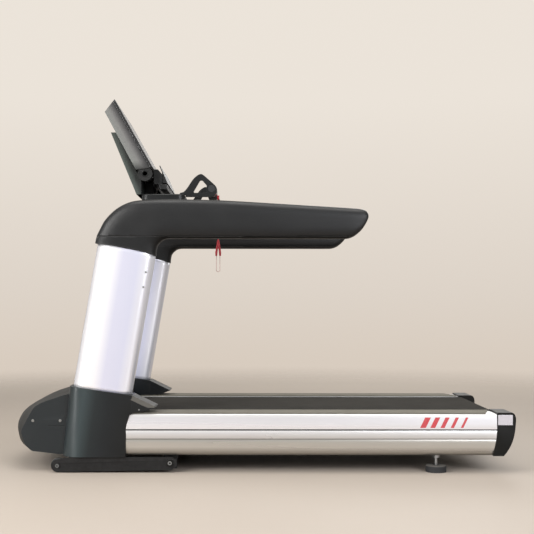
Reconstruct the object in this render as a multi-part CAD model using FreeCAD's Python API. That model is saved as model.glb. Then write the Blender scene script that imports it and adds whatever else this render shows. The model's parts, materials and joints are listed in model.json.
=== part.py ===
import FreeCAD, Part
import math
import os

os.makedirs("parts", exist_ok=True)
V = FreeCAD.Vector

# Overall envelope (mm). +X is the step-on end, -Y is the user's left, +Z is up.
overallLength = 2180.0
overallWidth = 900.0
overallHeight = 1610.0
rearX = overallLength / 2.0
frontX = -overallLength / 2.0
outerY = overallWidth / 2.0

# Fits
runFit = 0.05
slipGap = 0.3

# Walking surface
beltTop = 250.0
beltThick = 3.0
beltHalfWidth = 290.0
beltRadius = 45.0
rollerZ = beltTop - beltRadius
frontRollerX = -750.0
rearRollerX = 1010.0
rollerRadius = beltRadius - beltThick - slipGap
rollerHalf = 300.0
axleRadius = 8.5
axleHalf = 352.0
tensionY = 343.0
deckThick = 24.0
deckHalfWidth = 314.0
deckTop = beltTop - beltThick - slipGap
deckFrontX = -690.0
deckRearX = 955.0

# Steel frame
tubeInnerY = 322.0
tubeOuterY = 372.0
tubeLow = 85.0
tubeHigh = 205.0
tubeWall = 3.0
tubeFrontX = -958.0
tubeRearX = 985.0
crossClear = 9.0
crossLow = beltTop - 2.0 * beltRadius + beltThick + crossClear
crossHigh = 204.0
crossWidth = 50.0
crossXs = (-560.0, -190.0, 180.0, 550.0, 880.0)
lowCrossHigh = 32.0
lowCrossXs = (-70.0, 930.0)
motorCrossX = -945.0
motorPlateTop = tubeLow + 22.0
mastHalfX = 45.0
mastInnerY = 362.0
mastOuterY = 420.0
mastWall = 4.0
earThick = 8.0
railBracketXs = (-480.0, -60.0, 360.0, 720.0, 950.0)
cushionY = 268.0
cushionRadius = 20.0
mastLean = 9.3
mastBaseX = -659.0
mastBaseZ = 346.0

# Side rails
railInnerY = 317.0
railOuterY = outerY - 3.0
railLow = 73.0
railHigh = beltTop
railFrontX = -590.0
railRearX = 1009.5
railSlant = 16.0
railWall = 4.0
stripThick = 5.0
grooveZ = 183.0
creaseZ = 143.0

# Rear feet
footX = 760.0
footY = 400.0
padRadius = 44.0
padHigh = 28.0
ballZ = 18.0
ballRadius = 10.0
footPinRadius = 4.0
footPinHalf = 16.0
studRadius = 6.0
nutWidth = 27.0

# Lift frame under the front
wheelX = -851.0
wheelRadius = 30.0
wheelInnerY = 404.0
wheelOuterY = 426.0
liftPivotX = -374.0
liftPivotZ = 42.0
liftPivotRadius = 10.0
liftBarInnerY = 430.0
liftBarOuterY = 440.0
leverRadius = 75.0
leverHalfSwing = 14.55
liftCrossX = -640.0
liftCrossZ = 38.0
actuatorZ = liftPivotZ + leverRadius * math.cos(math.radians(leverHalfSwing)) + 1.2

# Drive
motorX = -898.0
motorZ = 182.0
motorRadius = 62.0
motorPulleyRadius = 25.0
rollerPulleyRadius = 36.0
pulleyInnerY = 302.0
pulleyOuterY = 319.0
driveBeltThick = 3.0

# Uprights
uprightInnerY = 335.0
uprightOuterY = 445.0
uprightChord = 242.0
uprightWall = 4.0
bootLip = 4.0
bootLow = 72.0
bootFrontX = mastBaseX - uprightChord / 2.0 - bootLip
wingX = mastBaseX + uprightChord / 2.0 + bootLip
uprightScrewZs = (850.0, 787.0)
uprightScrewReach = 100.0
hoodScrewXs = (-965.0, -848.0)
hoodScrewZ = 215.0
bootScrewX = -504.0
bootScrewZ = 268.0

# Arms
armInnerY = 340.0
armOuterY = 448.0
armWall = 5.0
armRound = 20.0
armSplitZ = 1003.0

# Console
dashFrontX = -511.0
dashRearX = -322.0
dashLow = 1172.0
dashHigh = 1197.0
dashHalf = 300.0
displayHalf = 310.0
tiltX = -495.0
tiltZ = 1285.0
tiltTubeRadius = 14.0
bossRadius = 32.0
bezelDepth = 12.0
supportHalf = 270.0
supportGap = 1.4
supportWall = 3.0
buttonRadius = 9.0
buttonTravel = 2.0
buttonX = -358.0
buttonYs = (-24.0, 24.0)
toggleYs = (-76.0, 76.0)
togglePinZ = dashHigh - 5.0
togglePinRadius = 2.0

# Grip bar and its loops
barX = -205.0
barZ = 1226.0
barRadius = 17.0
loopInnerY = 237.0
loopOuterY = 253.0
keyX = -183.0
keyZ = 1212.0
cordRadius = 1.6
cordEndZ = 1017.0
clipLowZ = 939.0
clipLoopLowZ = 865.0


def box(x0, x1, y0, y1, z0, z1):
    return Part.makeBox(x1 - x0, y1 - y0, z1 - z0, V(x0, y0, z0))


def rodY(x, z, radius, y0, y1):
    return Part.makeCylinder(radius, y1 - y0, V(x, y0, z), V(0, 1, 0))


def rodZ(x, y, radius, z0, z1):
    return Part.makeCylinder(radius, z1 - z0, V(x, y, z0), V(0, 0, 1))


def rodX(y, z, radius, x0, x1):
    return Part.makeCylinder(radius, x1 - x0, V(x0, y, z), V(1, 0, 0))


def outlineXZ(runs, y):
    """Closed wire in a plane of constant Y: runs of two points are straight, longer runs are smooth."""
    edges = []
    for run in runs:
        points = [V(x, y, z) for x, z in run]
        if len(points) == 2:
            edges.append(Part.makeLine(points[0], points[1]))
        else:
            curve = Part.BSplineCurve()
            curve.interpolate(points)
            edges.append(curve.toShape())
    return Part.Wire(edges)


def slab(runs, y0, y1):
    return Part.Face(outlineXZ(runs, y0)).extrude(V(0, y1 - y0, 0))


def polySlab(points, y0, y1):
    corners = [V(x, y0, z) for x, z in points]
    return Part.Face(Part.makePolygon(corners + [corners[0]])).extrude(V(0, y1 - y0, 0))


def insetSlab(runs, inset, y0, y1):
    """Slab whose outline keeps a wall's thickness inside the smooth outline, as short straight runs."""
    points = outlineXZ(runs, y0).discretize(Deflection=0.3)
    if (points[0] - points[-1]).Length > 0.001:
        points.append(points[0])
    return Part.Face(Part.makePolygon(points).makeOffset2D(-inset)).extrude(V(0, y1 - y0, 0))


def sectionSlab(points, x0, x1):
    corners = [V(x0, y, z) for y, z in points]
    return Part.Face(Part.makePolygon(corners + [corners[0]])).extrude(V(x1 - x0, 0, 0))


def mirrored(shape):
    return shape.mirror(V(0, 0, 0), V(0, 1, 0))


def fuse(shapes):
    return shapes[0].multiFuse(shapes[1:]).removeSplitter()


def save(node, shape):
    shape.exportStep("parts/" + node + ".step")


def both(shape):
    return [shape, mirrored(shape)]


def solids(shapes):
    return Part.makeCompound([s for shape in shapes for s in shape.Solids])


def savePair(node, shape):
    """Left and right pieces of one kind, held in one body."""
    save(node, solids(both(shape)))


def saveSides(node, shape):
    save(node + "_right", shape)
    save(node + "_left", mirrored(shape))


def filletAlong(shape, radius, wanted):
    return shape.makeFillet(radius, [e for e in shape.Edges if wanted(e)])


def leanPoint(z):
    return mastBaseX + (z - mastBaseZ) * math.tan(math.radians(mastLean))


def tubeX(x0, x1, y0, y1, z0, z1):
    return box(x0, x1, y0, y1, z0, z1).cut(
        box(x0 - 1, x1 + 1, y0 + tubeWall, y1 - tubeWall, z0 + tubeWall, z1 - tubeWall))


def tubeY(x0, x1, y0, y1, z0, z1):
    return box(x0, x1, y0, y1, z0, z1).cut(
        box(x0 + tubeWall, x1 - tubeWall, y0 - 1, y1 + 1, z0 + tubeWall, z1 - tubeWall))


def leaned(shape):
    """Turns a piece built round the upright's foot over to the upright's lean."""
    shape.rotate(V(0, 0, 0), V(0, 1, 0), mastLean)
    shape.translate(V(mastBaseX, 0, mastBaseZ))
    return shape


# ---- feet ----------------------------------------------------------------

def makeFeet():
    pad = rodZ(footX, footY, padRadius, 0, padHigh)
    pad = filletAlong(pad, 5.0, lambda e: abs(e.BoundBox.ZMin - padHigh) < 0.1 and e.Length > 100)
    pad = pad.cut(Part.makeSphere(ballRadius + runFit, V(footX, footY, ballZ)))
    pad = pad.cut(rodZ(footX, footY, ballRadius - 0.5, ballZ, padHigh + 1))
    pad = pad.cut(rodY(footX, ballZ, footPinRadius + runFit, footY - footPinHalf - 1, footY + footPinHalf + 1))
    savePair("foot_pads", pad)
    stud = fuse([Part.makeSphere(ballRadius, V(footX, footY, ballZ)),
                 rodY(footX, ballZ, footPinRadius, footY - footPinHalf, footY + footPinHalf),
                 rodZ(footX, footY, studRadius, ballZ, tubeLow + 18)])
    hexPoints = [V(footX + nutWidth / math.sqrt(3) * math.cos(math.radians(60 * i)),
                   footY + nutWidth / math.sqrt(3) * math.sin(math.radians(60 * i)), 60) for i in range(7)]
    nut = Part.Face(Part.makePolygon(hexPoints)).extrude(V(0, 0, 12))
    savePair("foot_studs", fuse([stud, nut]))


# ---- steel frame ---------------------------------------------------------

def makeFrame():
    side = tubeX(tubeFrontX, tubeRearX, tubeInnerY, tubeOuterY, tubeLow, tubeHigh)
    mast = box(-mastHalfX, mastHalfX, mastInnerY, mastOuterY, -262, 140)
    mast = mast.cut(box(-mastHalfX + mastWall, mastHalfX - mastWall, mastInnerY + mastWall,
                        mastOuterY - mastWall, -300, 200))
    mast = leaned(mast)
    mast = mast.cut(box(-900, -500, mastInnerY, tubeOuterY, tubeLow - 60, tubeHigh))
    mast = mast.cut(box(-900, -500, 300, 500, 0, tubeLow))
    rearEar = box(950, 1044, tubeInnerY, tubeInnerY + earThick, 160, 238)
    lug = box(1034, 1044, tubeInnerY + 7, tubeInnerY + 32, 190, 220)
    lug = lug.cut(rodX(tensionY, rollerZ, 5.0 + runFit, 1000, 1100))
    railBrackets = [box(x, x + 30, tubeInnerY + 2, tubeOuterY - 2, tubeHigh - 1, railHigh - railWall)
                    for x in railBracketXs]
    frontEar = box(-790, -705, tubeInnerY, tubeInnerY + earThick, 160, 238)
    footPlate = box(footX - 32, footX + 32, tubeOuterY - 1, 430, tubeLow, tubeLow + 8)
    footPlate = footPlate.cut(rodZ(footX, footY, studRadius + runFit, 0, 200))
    hanger = polySlab([(liftPivotX - 40, tubeLow + 20), (liftPivotX - 22, 20), (liftPivotX + 22, 20),
                       (liftPivotX + 40, tubeLow + 20)], tubeOuterY - 1, tubeOuterY + 9)
    pieces = []
    for piece in [side, mast, rearEar, frontEar, lug, footPlate, hanger] + railBrackets:
        pieces += both(piece)
    for x in crossXs:
        pieces.append(tubeY(x, x + crossWidth, -tubeInnerY - 1, tubeInnerY + 1, crossLow, crossHigh))
    for x in lowCrossXs:
        pieces.append(tubeY(x, x + crossWidth, -tubeInnerY - 1, tubeInnerY + 1, tubeLow, tubeLow + lowCrossHigh))
    pieces.append(tubeY(motorCrossX, motorCrossX + crossWidth, -tubeInnerY - 1, tubeInnerY + 1,
                        tubeLow, motorPlateTop))
    pieces.append(box(-905, -800, -tubeInnerY - 1, tubeInnerY + 1, motorPlateTop - 5, motorPlateTop))
    frame = fuse(pieces)
    axles = rodY(frontRollerX, rollerZ, axleRadius + runFit, -400, 400)
    axles = axles.fuse(rodY(rearRollerX, rollerZ, axleRadius + runFit, -400, 400))
    pivot = rodY(liftPivotX, liftPivotZ, liftPivotRadius + runFit, -400, 400)
    frame = frame.cut(axles).cut(pivot)
    save("frame", frame)


def makeDeck():
    deck = box(deckFrontX, deckRearX, -deckHalfWidth, deckHalfWidth, deckTop - deckThick, deckTop)
    save("running_deck", deck)
    cushionHigh = deckTop - deckThick
    feet = []
    for x in crossXs:
        for y in (-cushionY, cushionY):
            feet.append(rodZ(x + crossWidth / 2, y, cushionRadius, crossHigh, cushionHigh))
    save("deck_cushions", Part.makeCompound(feet))


def stadium(radius, half, x0, z0, r0, x1, z1, r1):
    """Belt loop body round two pulleys of unlike size, grown by radius."""
    a, b = r0 + radius, r1 + radius
    dx, dz = x1 - x0, z1 - z0
    reach = math.hypot(dx, dz)
    base = math.atan2(dz, dx)
    swing = math.acos((a - b) / reach)
    tangents = []
    for sign in (1, -1):
        ang = base + sign * swing
        tangents.append(((x0 + a * math.cos(ang), z0 + a * math.sin(ang)),
                         (x1 + b * math.cos(ang), z1 + b * math.sin(ang))))
    quad = [tangents[0][0], tangents[0][1], tangents[1][1], tangents[1][0]]
    y0, y1 = half
    return fuse([polySlab(quad, y0, y1), rodY(x0, z0, a, y0, y1), rodY(x1, z1, b, y0, y1)])


def makeBelt():
    span = (-beltHalfWidth, beltHalfWidth)
    wide = (-beltHalfWidth - 1, beltHalfWidth + 1)
    inner = beltRadius - beltThick
    outerLoop = stadium(0, span, frontRollerX, rollerZ, beltRadius, rearRollerX, rollerZ, beltRadius)
    innerLoop = stadium(0, wide, frontRollerX, rollerZ, inner, rearRollerX, rollerZ, inner)
    save("running_belt", outerLoop.cut(innerLoop))


def makeRoller(x):
    tube = rodY(x, rollerZ, rollerRadius, -rollerHalf, rollerHalf)
    tube = tube.cut(rodY(x, rollerZ, rollerRadius - 4, -rollerHalf + 22, rollerHalf - 22))
    return tube.cut(rodY(x, rollerZ, axleRadius + runFit, -400, 400))


def makeRollers():
    pulley = rodY(frontRollerX, rollerZ, rollerPulleyRadius, -pulleyOuterY, -rollerHalf)
    pulley = pulley.cut(rodY(frontRollerX, rollerZ, axleRadius + runFit, -400, 0))
    save("front_roller", fuse([makeRoller(frontRollerX), pulley]))
    save("rear_roller", makeRoller(rearRollerX))
    save("roller_axles", solids([rodY(x, rollerZ, axleRadius, -axleHalf, axleHalf)
                                 for x in (frontRollerX, rearRollerX)]))


def makeTension():
    """Bolts behind the rear axle that set the belt's tension, each in a lug on the frame."""
    x0 = rearRollerX + axleRadius + 0.4
    bolt = rodX(tensionY, rollerZ, 5.0, x0, 1048)
    head = rodX(tensionY, rollerZ, 8.0, 1048, 1054)
    savePair("tension_bolts", fuse([bolt, head]))


# ---- side rails and end caps ---------------------------------------------

def makeRails():
    t = railWall
    out = [(railInnerY, railHigh), (railOuterY - 5, railHigh), (railOuterY, grooveZ + 2),
           (railOuterY - 2, grooveZ + 2), (railOuterY - 2, grooveZ - 2), (railOuterY, grooveZ - 2),
           (railOuterY, creaseZ), (railOuterY - 13, railLow + 7), (railOuterY - 21, railLow),
           (tubeOuterY + 12, railLow)]
    back = [(tubeOuterY + 12, railLow + t), (railOuterY - 23, railLow + t), (railOuterY - 17, railLow + 9),
            (railOuterY - t, creaseZ + 0.4), (railOuterY - t - 1, grooveZ), (railOuterY - 9, railHigh - t),
            (railInnerY, railHigh - t)]
    rail = sectionSlab(out + back, railFrontX, railRearX)
    slantCut = polySlab([(railRearX + 1, railLow - 5), (railRearX + 1, creaseZ + 22),
                         (railRearX, creaseZ + 22), (railRearX - railSlant, railLow),
                         (railRearX - railSlant - 1, railLow - 5)], railInnerY - 17, railOuterY + 13)
    rail = rail.cut(slantCut)
    rail = rail.cut(rodZ(footX, footY, 19.0, 60, 84))
    rail = rail.cut(box(liftPivotX - 45, liftPivotX + 45, tubeOuterY, tubeOuterY + 14, 60, 90))
    savePair("side_rails", rail)
    low, high = railHigh, railHigh + stripThick
    corners = [V(railFrontX + 12, railInnerY, low), V(railFrontX + 12, railOuterY - 7, low),
               V(962, railOuterY - 7, low), V(1000, railInnerY, low)]
    strip = Part.Face(Part.makePolygon(corners + [corners[0]])).extrude(V(0, 0, high - low))
    grooves = []
    for i in range(1, 12):
        y = railInnerY + 10.2 * i
        grooves.append(box(railFrontX, 1010, y, y + 1.6, high - 1.2, high + 1))
    savePair("foot_strips", strip.cut(Part.makeCompound(grooves)))


def capRuns():
    top = railHigh + 7.0
    return [[(1010.0, top), (1068.0, top)],
            [(1068.0, top), (1082.0, top - 5), (rearX - 0.7, top - 21), (rearX - 0.7, 215.0),
             (1086.0, 178.0), (1073.0, 128.0), (1053.0, 91.0), (1038.0, railLow)],
            [(1038.0, railLow), (994.5, railLow)],
            [(994.5, railLow), (1010.0, creaseZ + 22)],
            [(1010.0, creaseZ + 22), (1010.0, top)]]


def makeCaps():
    cap = slab(capRuns(), 303.0, railOuterY)
    cap = cap.cut(insetSlab(capRuns(), 4.0, 300.0, railOuterY - 4))
    cap = cap.cut(box(900, 1062, 300, tubeOuterY + 12, 76, 244))
    inner = slab(capRuns(), 303.0, 306.0)
    inner = inner.cut(rodY(rearRollerX, rollerZ, 15.0, 290, 320))
    cap = cap.fuse(inner.cut(box(900, 1100, 300, 310, 60, 110))).removeSplitter()
    cap = cap.cut(box(1013, 1077, railOuterY - 2, railOuterY + 2, 203, 248))
    savePair("end_caps", cap)
    insert = box(1014, 1076, railOuterY - 2, railOuterY + 0.6, 204, 247)
    insert = filletAlong(insert, 3.0, lambda e: abs(e.BoundBox.YLength - 2.6) < 0.01)
    savePair("cap_inserts", insert)


# ---- motor hood ----------------------------------------------------------

hoodSide = [(bootFrontX - 9.5, 331.5), (-843.0, 321.0), (-866.0, 313.0), (-901.0, 302.0), (-924.0, 293.0),
            (-947.0, 281.0), (-964.0, 267.0), (-975.0, 248.0), (-989.0, 225.0), (-998.0, 206.0),
            (-1010.0, 185.0), (-1016.0, 165.0)]
hoodSideLow = [(-1016.0, 165.0), (-1008.0, 137.0), (-996.0, 111.0), (-982.0, 95.0), (-964.0, 84.0)]
hoodPanelY = 390.0
rockerX = -1043.0
rockerZ = 124.0
rockerPinRadius = 1.5


def hoodPanelRuns():
    low = [(bootFrontX - 70.0, bootLow), (bootFrontX - 45.5, bootLow)]
    return [hoodSide, hoodSideLow, [hoodSideLow[-1], low[0]], low,
            [low[1], (bootFrontX - 29.5, 190.0), (bootFrontX - 15.5, 285.0), hoodSide[0]]]


def hoodBody(inset):
    """Crowned, bow-fronted block: the side profile, the plan and the front view each cut it to shape."""
    half = hoodPanelY - 5.5 - inset
    nose = frontX + inset
    crown = [(-612.0, 263.0 - inset), (-660.0, 318.0 - inset), (-720.0, 338.0 - inset), (-790.0, 338.0 - inset),
             (-877.0, 322.0 - inset), (-938.0, 306.0 - inset), (-1000.0, 277.0 - inset),
             (-1045.0 + inset * 0.6, 254.0 - inset * 0.8), (-1078.0 + inset, 222.0 - inset * 0.3),
             (nose, 185.0), (nose, 150.0), (nose + 9, 112.0), (nose + 36, 80.0), (-612.0, 80.0)]
    plan = [(-500.0, -half), (-1000.0 + inset, -half), (nose + 42, -half * 0.72), (nose + 12, -half * 0.38),
            (nose, -half * 0.12), (nose, half * 0.12), (nose + 12, half * 0.38), (nose + 42, half * 0.72),
            (-1000.0 + inset, half), (-500.0, half)]
    arch = [(-half, 60.0), (-half, 236.0 - inset), (-half * 0.94, 296.0 - inset), (-half * 0.8, 323.0 - inset),
            (-half * 0.4, 338.0 - inset), (half * 0.4, 338.0 - inset), (half * 0.8, 323.0 - inset),
            (half * 0.94, 296.0 - inset), (half, 236.0 - inset), (half, 60.0)]
    planPoints = [V(x, y, 0) for x, y in plan]
    planBlock = Part.Face(Part.makePolygon(planPoints + [planPoints[0]])).extrude(V(0, 0, 500))
    return polySlab(crown, -half, half).common(planBlock).common(sectionSlab(arch, -1200.0, -500.0))


def makeHood():
    shell = hoodBody(0.0).cut(hoodBody(3.5))
    for side in (1, -1):
        y0, y1 = sorted((side * 320.0, side * 500.0))
        shell = shell.cut(polySlab([(bootFrontX - 8, 420), (bootFrontX - 51, 70), (bootFrontX - 51, 40),
                                    (-400, 40), (-400, 420)], y0, y1))
    shell = shell.cut(box(-840, -600, -330, 330, 60, 252))
    shell = shell.cut(box(-1200, -1040, 120, 236, 96, 152))
    save("motor_hood", shell)
    panel = slab(hoodPanelRuns(), hoodPanelY - 5.0, hoodPanelY + 1.0)
    panel = panel.cut(box(-1200, -700, hoodPanelY - 1, hoodPanelY + 5, 191.5, 194.5)
                      .common(box(-900, -700, 300, 500, 0, 400)))
    holes = [rodY(x, hoodScrewZ, 3.5, 300, 500) for x in hoodScrewXs]
    savePair("hood_side_panels", panel.cut(Part.makeCompound(holes)))
    pan = box(-985, -800, -330, 330, 76, 79.5)
    save("belly_pan", pan)


def makeInlet():
    plate = box(-1046, -1040, 121, 235, 97, 151)
    plate = plate.cut(box(-1100, -1000, 136, 166, 112, 136)).cut(box(-1100, -1000, 189, 221, 108, 140))
    tray = box(-1040, -1002, 128, 228, 100, 148).cut(box(-1041, -1004, 130, 226, 102, 146))
    socket = box(-1050, -1022, 135, 167, 111, 137).cut(box(-1060, -1030, 140, 162, 116, 132))
    pins = [box(-1044, -1029, y, y + 4, 123, 125) for y in (143.0, 149.0, 155.0)]
    inlet = fuse([plate, tray, socket] + pins)
    save("power_inlet", inlet.cut(rodY(rockerX, rockerZ, rockerPinRadius + runFit, 186.0, 224.0)))
    rocker = polySlab([(-1034.0, 110.0), (-1050.0, 110.0), (-1047.0, 124.0), (-1051.0, 138.0),
                       (-1034.0, 138.0)], 190.0, 220.0)
    save("power_rocker", rocker.fuse(rodY(rockerX, rockerZ, rockerPinRadius, 186.5, 223.5)))


# ---- boots and uprights --------------------------------------------------

def bootRuns():
    return [[(bootFrontX, 363.0), (bootFrontX - 13.0, 285.0), (bootFrontX - 27.0, 190.0),
             (bootFrontX - 43.0, bootLow)],
            [(bootFrontX - 43.0, bootLow), (-572.0, bootLow)],
            [(-572.0, bootLow), (-570.0, 120.0), (-563.0, 150.0), (-562.0, 185.0), (-557.0, 208.0), (-545.0, 242.0)],
            [(-545.0, 242.0), (-531.0, 254.0), (-509.0, 258.5), (-477.0, 261.0), (-434.0, 279.0)],
            [(-434.0, 279.0), (wingX, 328.0)],
            [(wingX, 328.0), (bootFrontX, 363.0)]]


def makeBoots():
    inner, outer = 328.0, outerY
    boot = slab(bootRuns(), inner, outer)
    boot = boot.cut(insetSlab(bootRuns(), 3.0, inner + 3, outer - 2.5))
    boot = boot.cut(box(-900, -400, 300, 376, 60, 212))
    boot = boot.cut(box(-900, -400, 300, 332, 60, 252))
    boot = boot.cut(box(-602, -400, 300, outer - 2.5, 60, 256.5))
    boot = boot.cut(leaned(box(-47, 47, 358, 424, -100, 160)))
    boot = boot.cut(rodY(bootScrewX, bootScrewZ, 3.3, outer - 50, outer + 50))
    savePair("boots", boot)
    savePair("wing_trims", polySlab([(wingX, 331.0), (-432.0, 281.0), (-432.0, 279.6), (wingX + 0.2, 328.6)],
                                    330.0, outer - 3.0))


topCurve = [(-683.0, 971.0), (-609.0, 960.5), (-540.0, 949.0), (-480.0, 933.0), (-437.0, 918.0)]


def makeUprights():
    half = uprightChord / 2.0
    shell = box(-half, half, uprightInnerY, uprightOuterY, -80, 720)
    shell = filletAlong(shell, 46.0, lambda e: e.BoundBox.ZLength > 700 and e.BoundBox.XMin < 0)
    shell = filletAlong(shell, 26.0, lambda e: e.BoundBox.ZLength > 700 and e.BoundBox.XMin > half - 0.1)
    t = uprightWall
    bore = box(-half + t, half - t, uprightInnerY + t, uprightOuterY - t, -90, 730)
    bore = filletAlong(bore, 46.0 - t, lambda e: e.BoundBox.ZLength > 700 and e.BoundBox.XMin < 0)
    bore = filletAlong(bore, 26.0 - t, lambda e: e.BoundBox.ZLength > 700 and e.BoundBox.XMin > half - t - 0.1)
    tube = leaned(shell.cut(bore))
    keepRuns = [[(bootFrontX - 83.0, 363.5 + 11.6), (-434.0, 328.5 - 14.0)],
                [(-434.0, 328.5 - 14.0), (-400.0, 905.0)], [(-400.0, 905.0), topCurve[-1]],
                list(reversed(topCurve)), [topCurve[0], (-900.0, 1004.0)],
                [(-900.0, 1004.0), (bootFrontX - 83.0, 363.5 + 11.6)]]
    tube = tube.common(slab(keepRuns, 300.0, 470.0))
    for z in uprightScrewZs:
        tube = tube.cut(rodY(leanPoint(z) + uprightScrewReach, z, 4.3, 430, 460))
    savePair("uprights", tube)


def makeScrews():
    """The small screws that show: two on each hood panel, one on each boot, two on each upright."""
    shown = []
    for x in hoodScrewXs:
        shank = rodY(x, hoodScrewZ, 3.4, hoodPanelY - 5, hoodPanelY + 1.5)
        shown.append(fuse([shank, rodY(x, hoodScrewZ, 6.0, hoodPanelY + 1.05, hoodPanelY + 3.4)]))
    shown.append(rodY(bootScrewX, bootScrewZ, 3.2, outerY - 14, outerY))
    for z in uprightScrewZs:
        shown.append(rodY(leanPoint(z) + uprightScrewReach, z, 4.2, uprightOuterY - 8, uprightOuterY - 0.6))
    save("trim_screws", solids([s for screw in shown for s in both(screw)]))


# ---- arms ----------------------------------------------------------------

def armRuns(low):
    crown = [(-687.0, 972.0 + low), (-674.0, 1014.0), (-645.0, 1073.0), (-603.0, 1119.0), (-553.0, 1148.0),
             (-503.0, 1159.0), (-394.0, 1162.0), (-169.0, 1158.0), (82.0, 1144.0), (399.0, 1125.0),
             (446.0, 1120.0), (466.0, 1110.0), (471.0, 1094.0), (465.0, 1070.0), (441.0, 1031.0),
             (410.0, 1003.0), (378.0, 993.0)]
    corner = [(-385.0, 993.0), (-412.0, 984.0), (-431.0, 962.0), (-436.0, 918.0 + low + 1)]
    under = [(x, z + 1.2) for x, z in reversed(topCurve)]
    under = [corner[-1]] + under[1:-1] + [crown[0]]
    return [crown, [crown[-1], corner[0]], corner, under]


def makeArms():
    runs = armRuns(1.2)
    body = slab(runs, armInnerY, armOuterY)
    edges = [e for e in body.Edges if e.BoundBox.YLength < 0.01 and e.Length > 60]
    body = body.makeFillet(armRound, edges)
    cavity = insetSlab(runs, armWall + 3, armInnerY + armWall, armOuterY - armWall)
    below = box(-800, 600, 300, 500, 800, armSplitZ - 0.2)
    above = box(-800, 600, 300, 500, armSplitZ + 0.2, 1300)
    shell = body.cut(cavity)
    shell = shell.cut(leaned(box(-90, 90, 345, 435, 500, 640)))
    shell = shell.cut(box(-562, -478, 300, 350, 1078, 1142))
    savePair("arm_covers", shell.common(above))
    savePair("arm_trays", shell.common(below))
    post = box(-80, 80, 350, 430, 480, 700)
    post = leaned(post.cut(box(-76, 76, 354, 426, 470, 710)))
    rail = rodX(390.0, 1072.0, 27.0, -590, 410).cut(rodX(390.0, 1072.0, 24.0, -600, 420))
    post = post.cut(rodX(390.0, 1072.0, 27.0, -800, 600))
    post = post.common(box(-900, -300, 300, 500, 700, 1104))
    lugs = box(-562, -478, 345.5, 372, 1040, 1104).cut(rodX(390.0, 1072.0, 27.0, -800, 600))
    savePair("arm_frames", fuse([post, rail, lugs]))


# ---- console -------------------------------------------------------------

def makeDash():
    beam = tubeY(-560, -480, -345.0, 345.0, 1080, 1140)
    neckPost = box(-508, -446, -80, 80, 1120, dashLow)
    neckPost = neckPost.cut(box(-600, -480, -100, 100, 1083, 1137))
    save("console_beam", beam.fuse(neckPost.cut(box(-560, -480, -345, 345, 1080, 1140))).removeSplitter())
    dash = box(dashFrontX, dashRearX, -dashHalf, dashHalf, dashLow, dashHigh)
    dash = filletAlong(dash, 30.0, lambda e: e.BoundBox.ZLength > 20 and e.BoundBox.XLength < 0.1
                       and e.BoundBox.YLength < 0.1)
    dash = filletAlong(dash, 6.0, lambda e: abs(e.BoundBox.ZMin - dashHigh) < 0.1
                       and abs(e.BoundBox.ZMax - dashHigh) < 0.1)
    for y in buttonYs:
        dash = dash.cut(rodZ(buttonX, y, buttonRadius + 0.4, dashHigh - 8, dashHigh + 5))
    for y in toggleYs:
        dash = dash.cut(box(buttonX - 20, buttonX + 20, y - 8, y + 8, dashHigh - 12, dashHigh + 5))
        dash = dash.cut(rodY(buttonX, togglePinZ, togglePinRadius + runFit, y - 11, y + 11))
    save("dash_panel", dash)
    pad = box(-384, -336, -112, 112, dashHigh + 0.02, dashHigh + 1.6)
    for y in buttonYs:
        pad = pad.cut(rodZ(buttonX, y, buttonRadius + 0.4, dashHigh - 8, dashHigh + 5))
    for y in toggleYs:
        pad = pad.cut(box(buttonX - 20, buttonX + 20, y - 8, y + 8, dashHigh - 12, dashHigh + 5))
    save("keypad_plate", pad)
    for name, y in zip(("button_start", "button_stop"), buttonYs):
        button = rodZ(buttonX, y, buttonRadius, dashHigh - 5, dashHigh + 4.5)
        save(name, filletAlong(button, 1.2, lambda e: e.BoundBox.ZMin > dashHigh + 4.4))
    for name, y in zip(("toggle_speed", "toggle_incline"), toggleYs):
        paddle = polySlab([(buttonX - 5, dashHigh - 9), (buttonX + 5, dashHigh - 9), (buttonX + 9, dashHigh + 3),
                           (buttonX + 6, dashHigh + 11), (buttonX - 6, dashHigh + 11),
                           (buttonX - 9, dashHigh + 3)], y - 7.4, y + 7.4)
        paddle = filletAlong(paddle, 1.5, lambda e: abs(e.BoundBox.ZMin - dashHigh - 11) < 0.1)
        save(name, paddle.fuse(rodY(buttonX, togglePinZ, togglePinRadius, y - 10.5, y + 10.5)))


def displayRuns():
    return ((-460.0, 1313.0), (-627.0, overallHeight), (-670.0, 1554.0), (-534.0, 1301.0))


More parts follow.
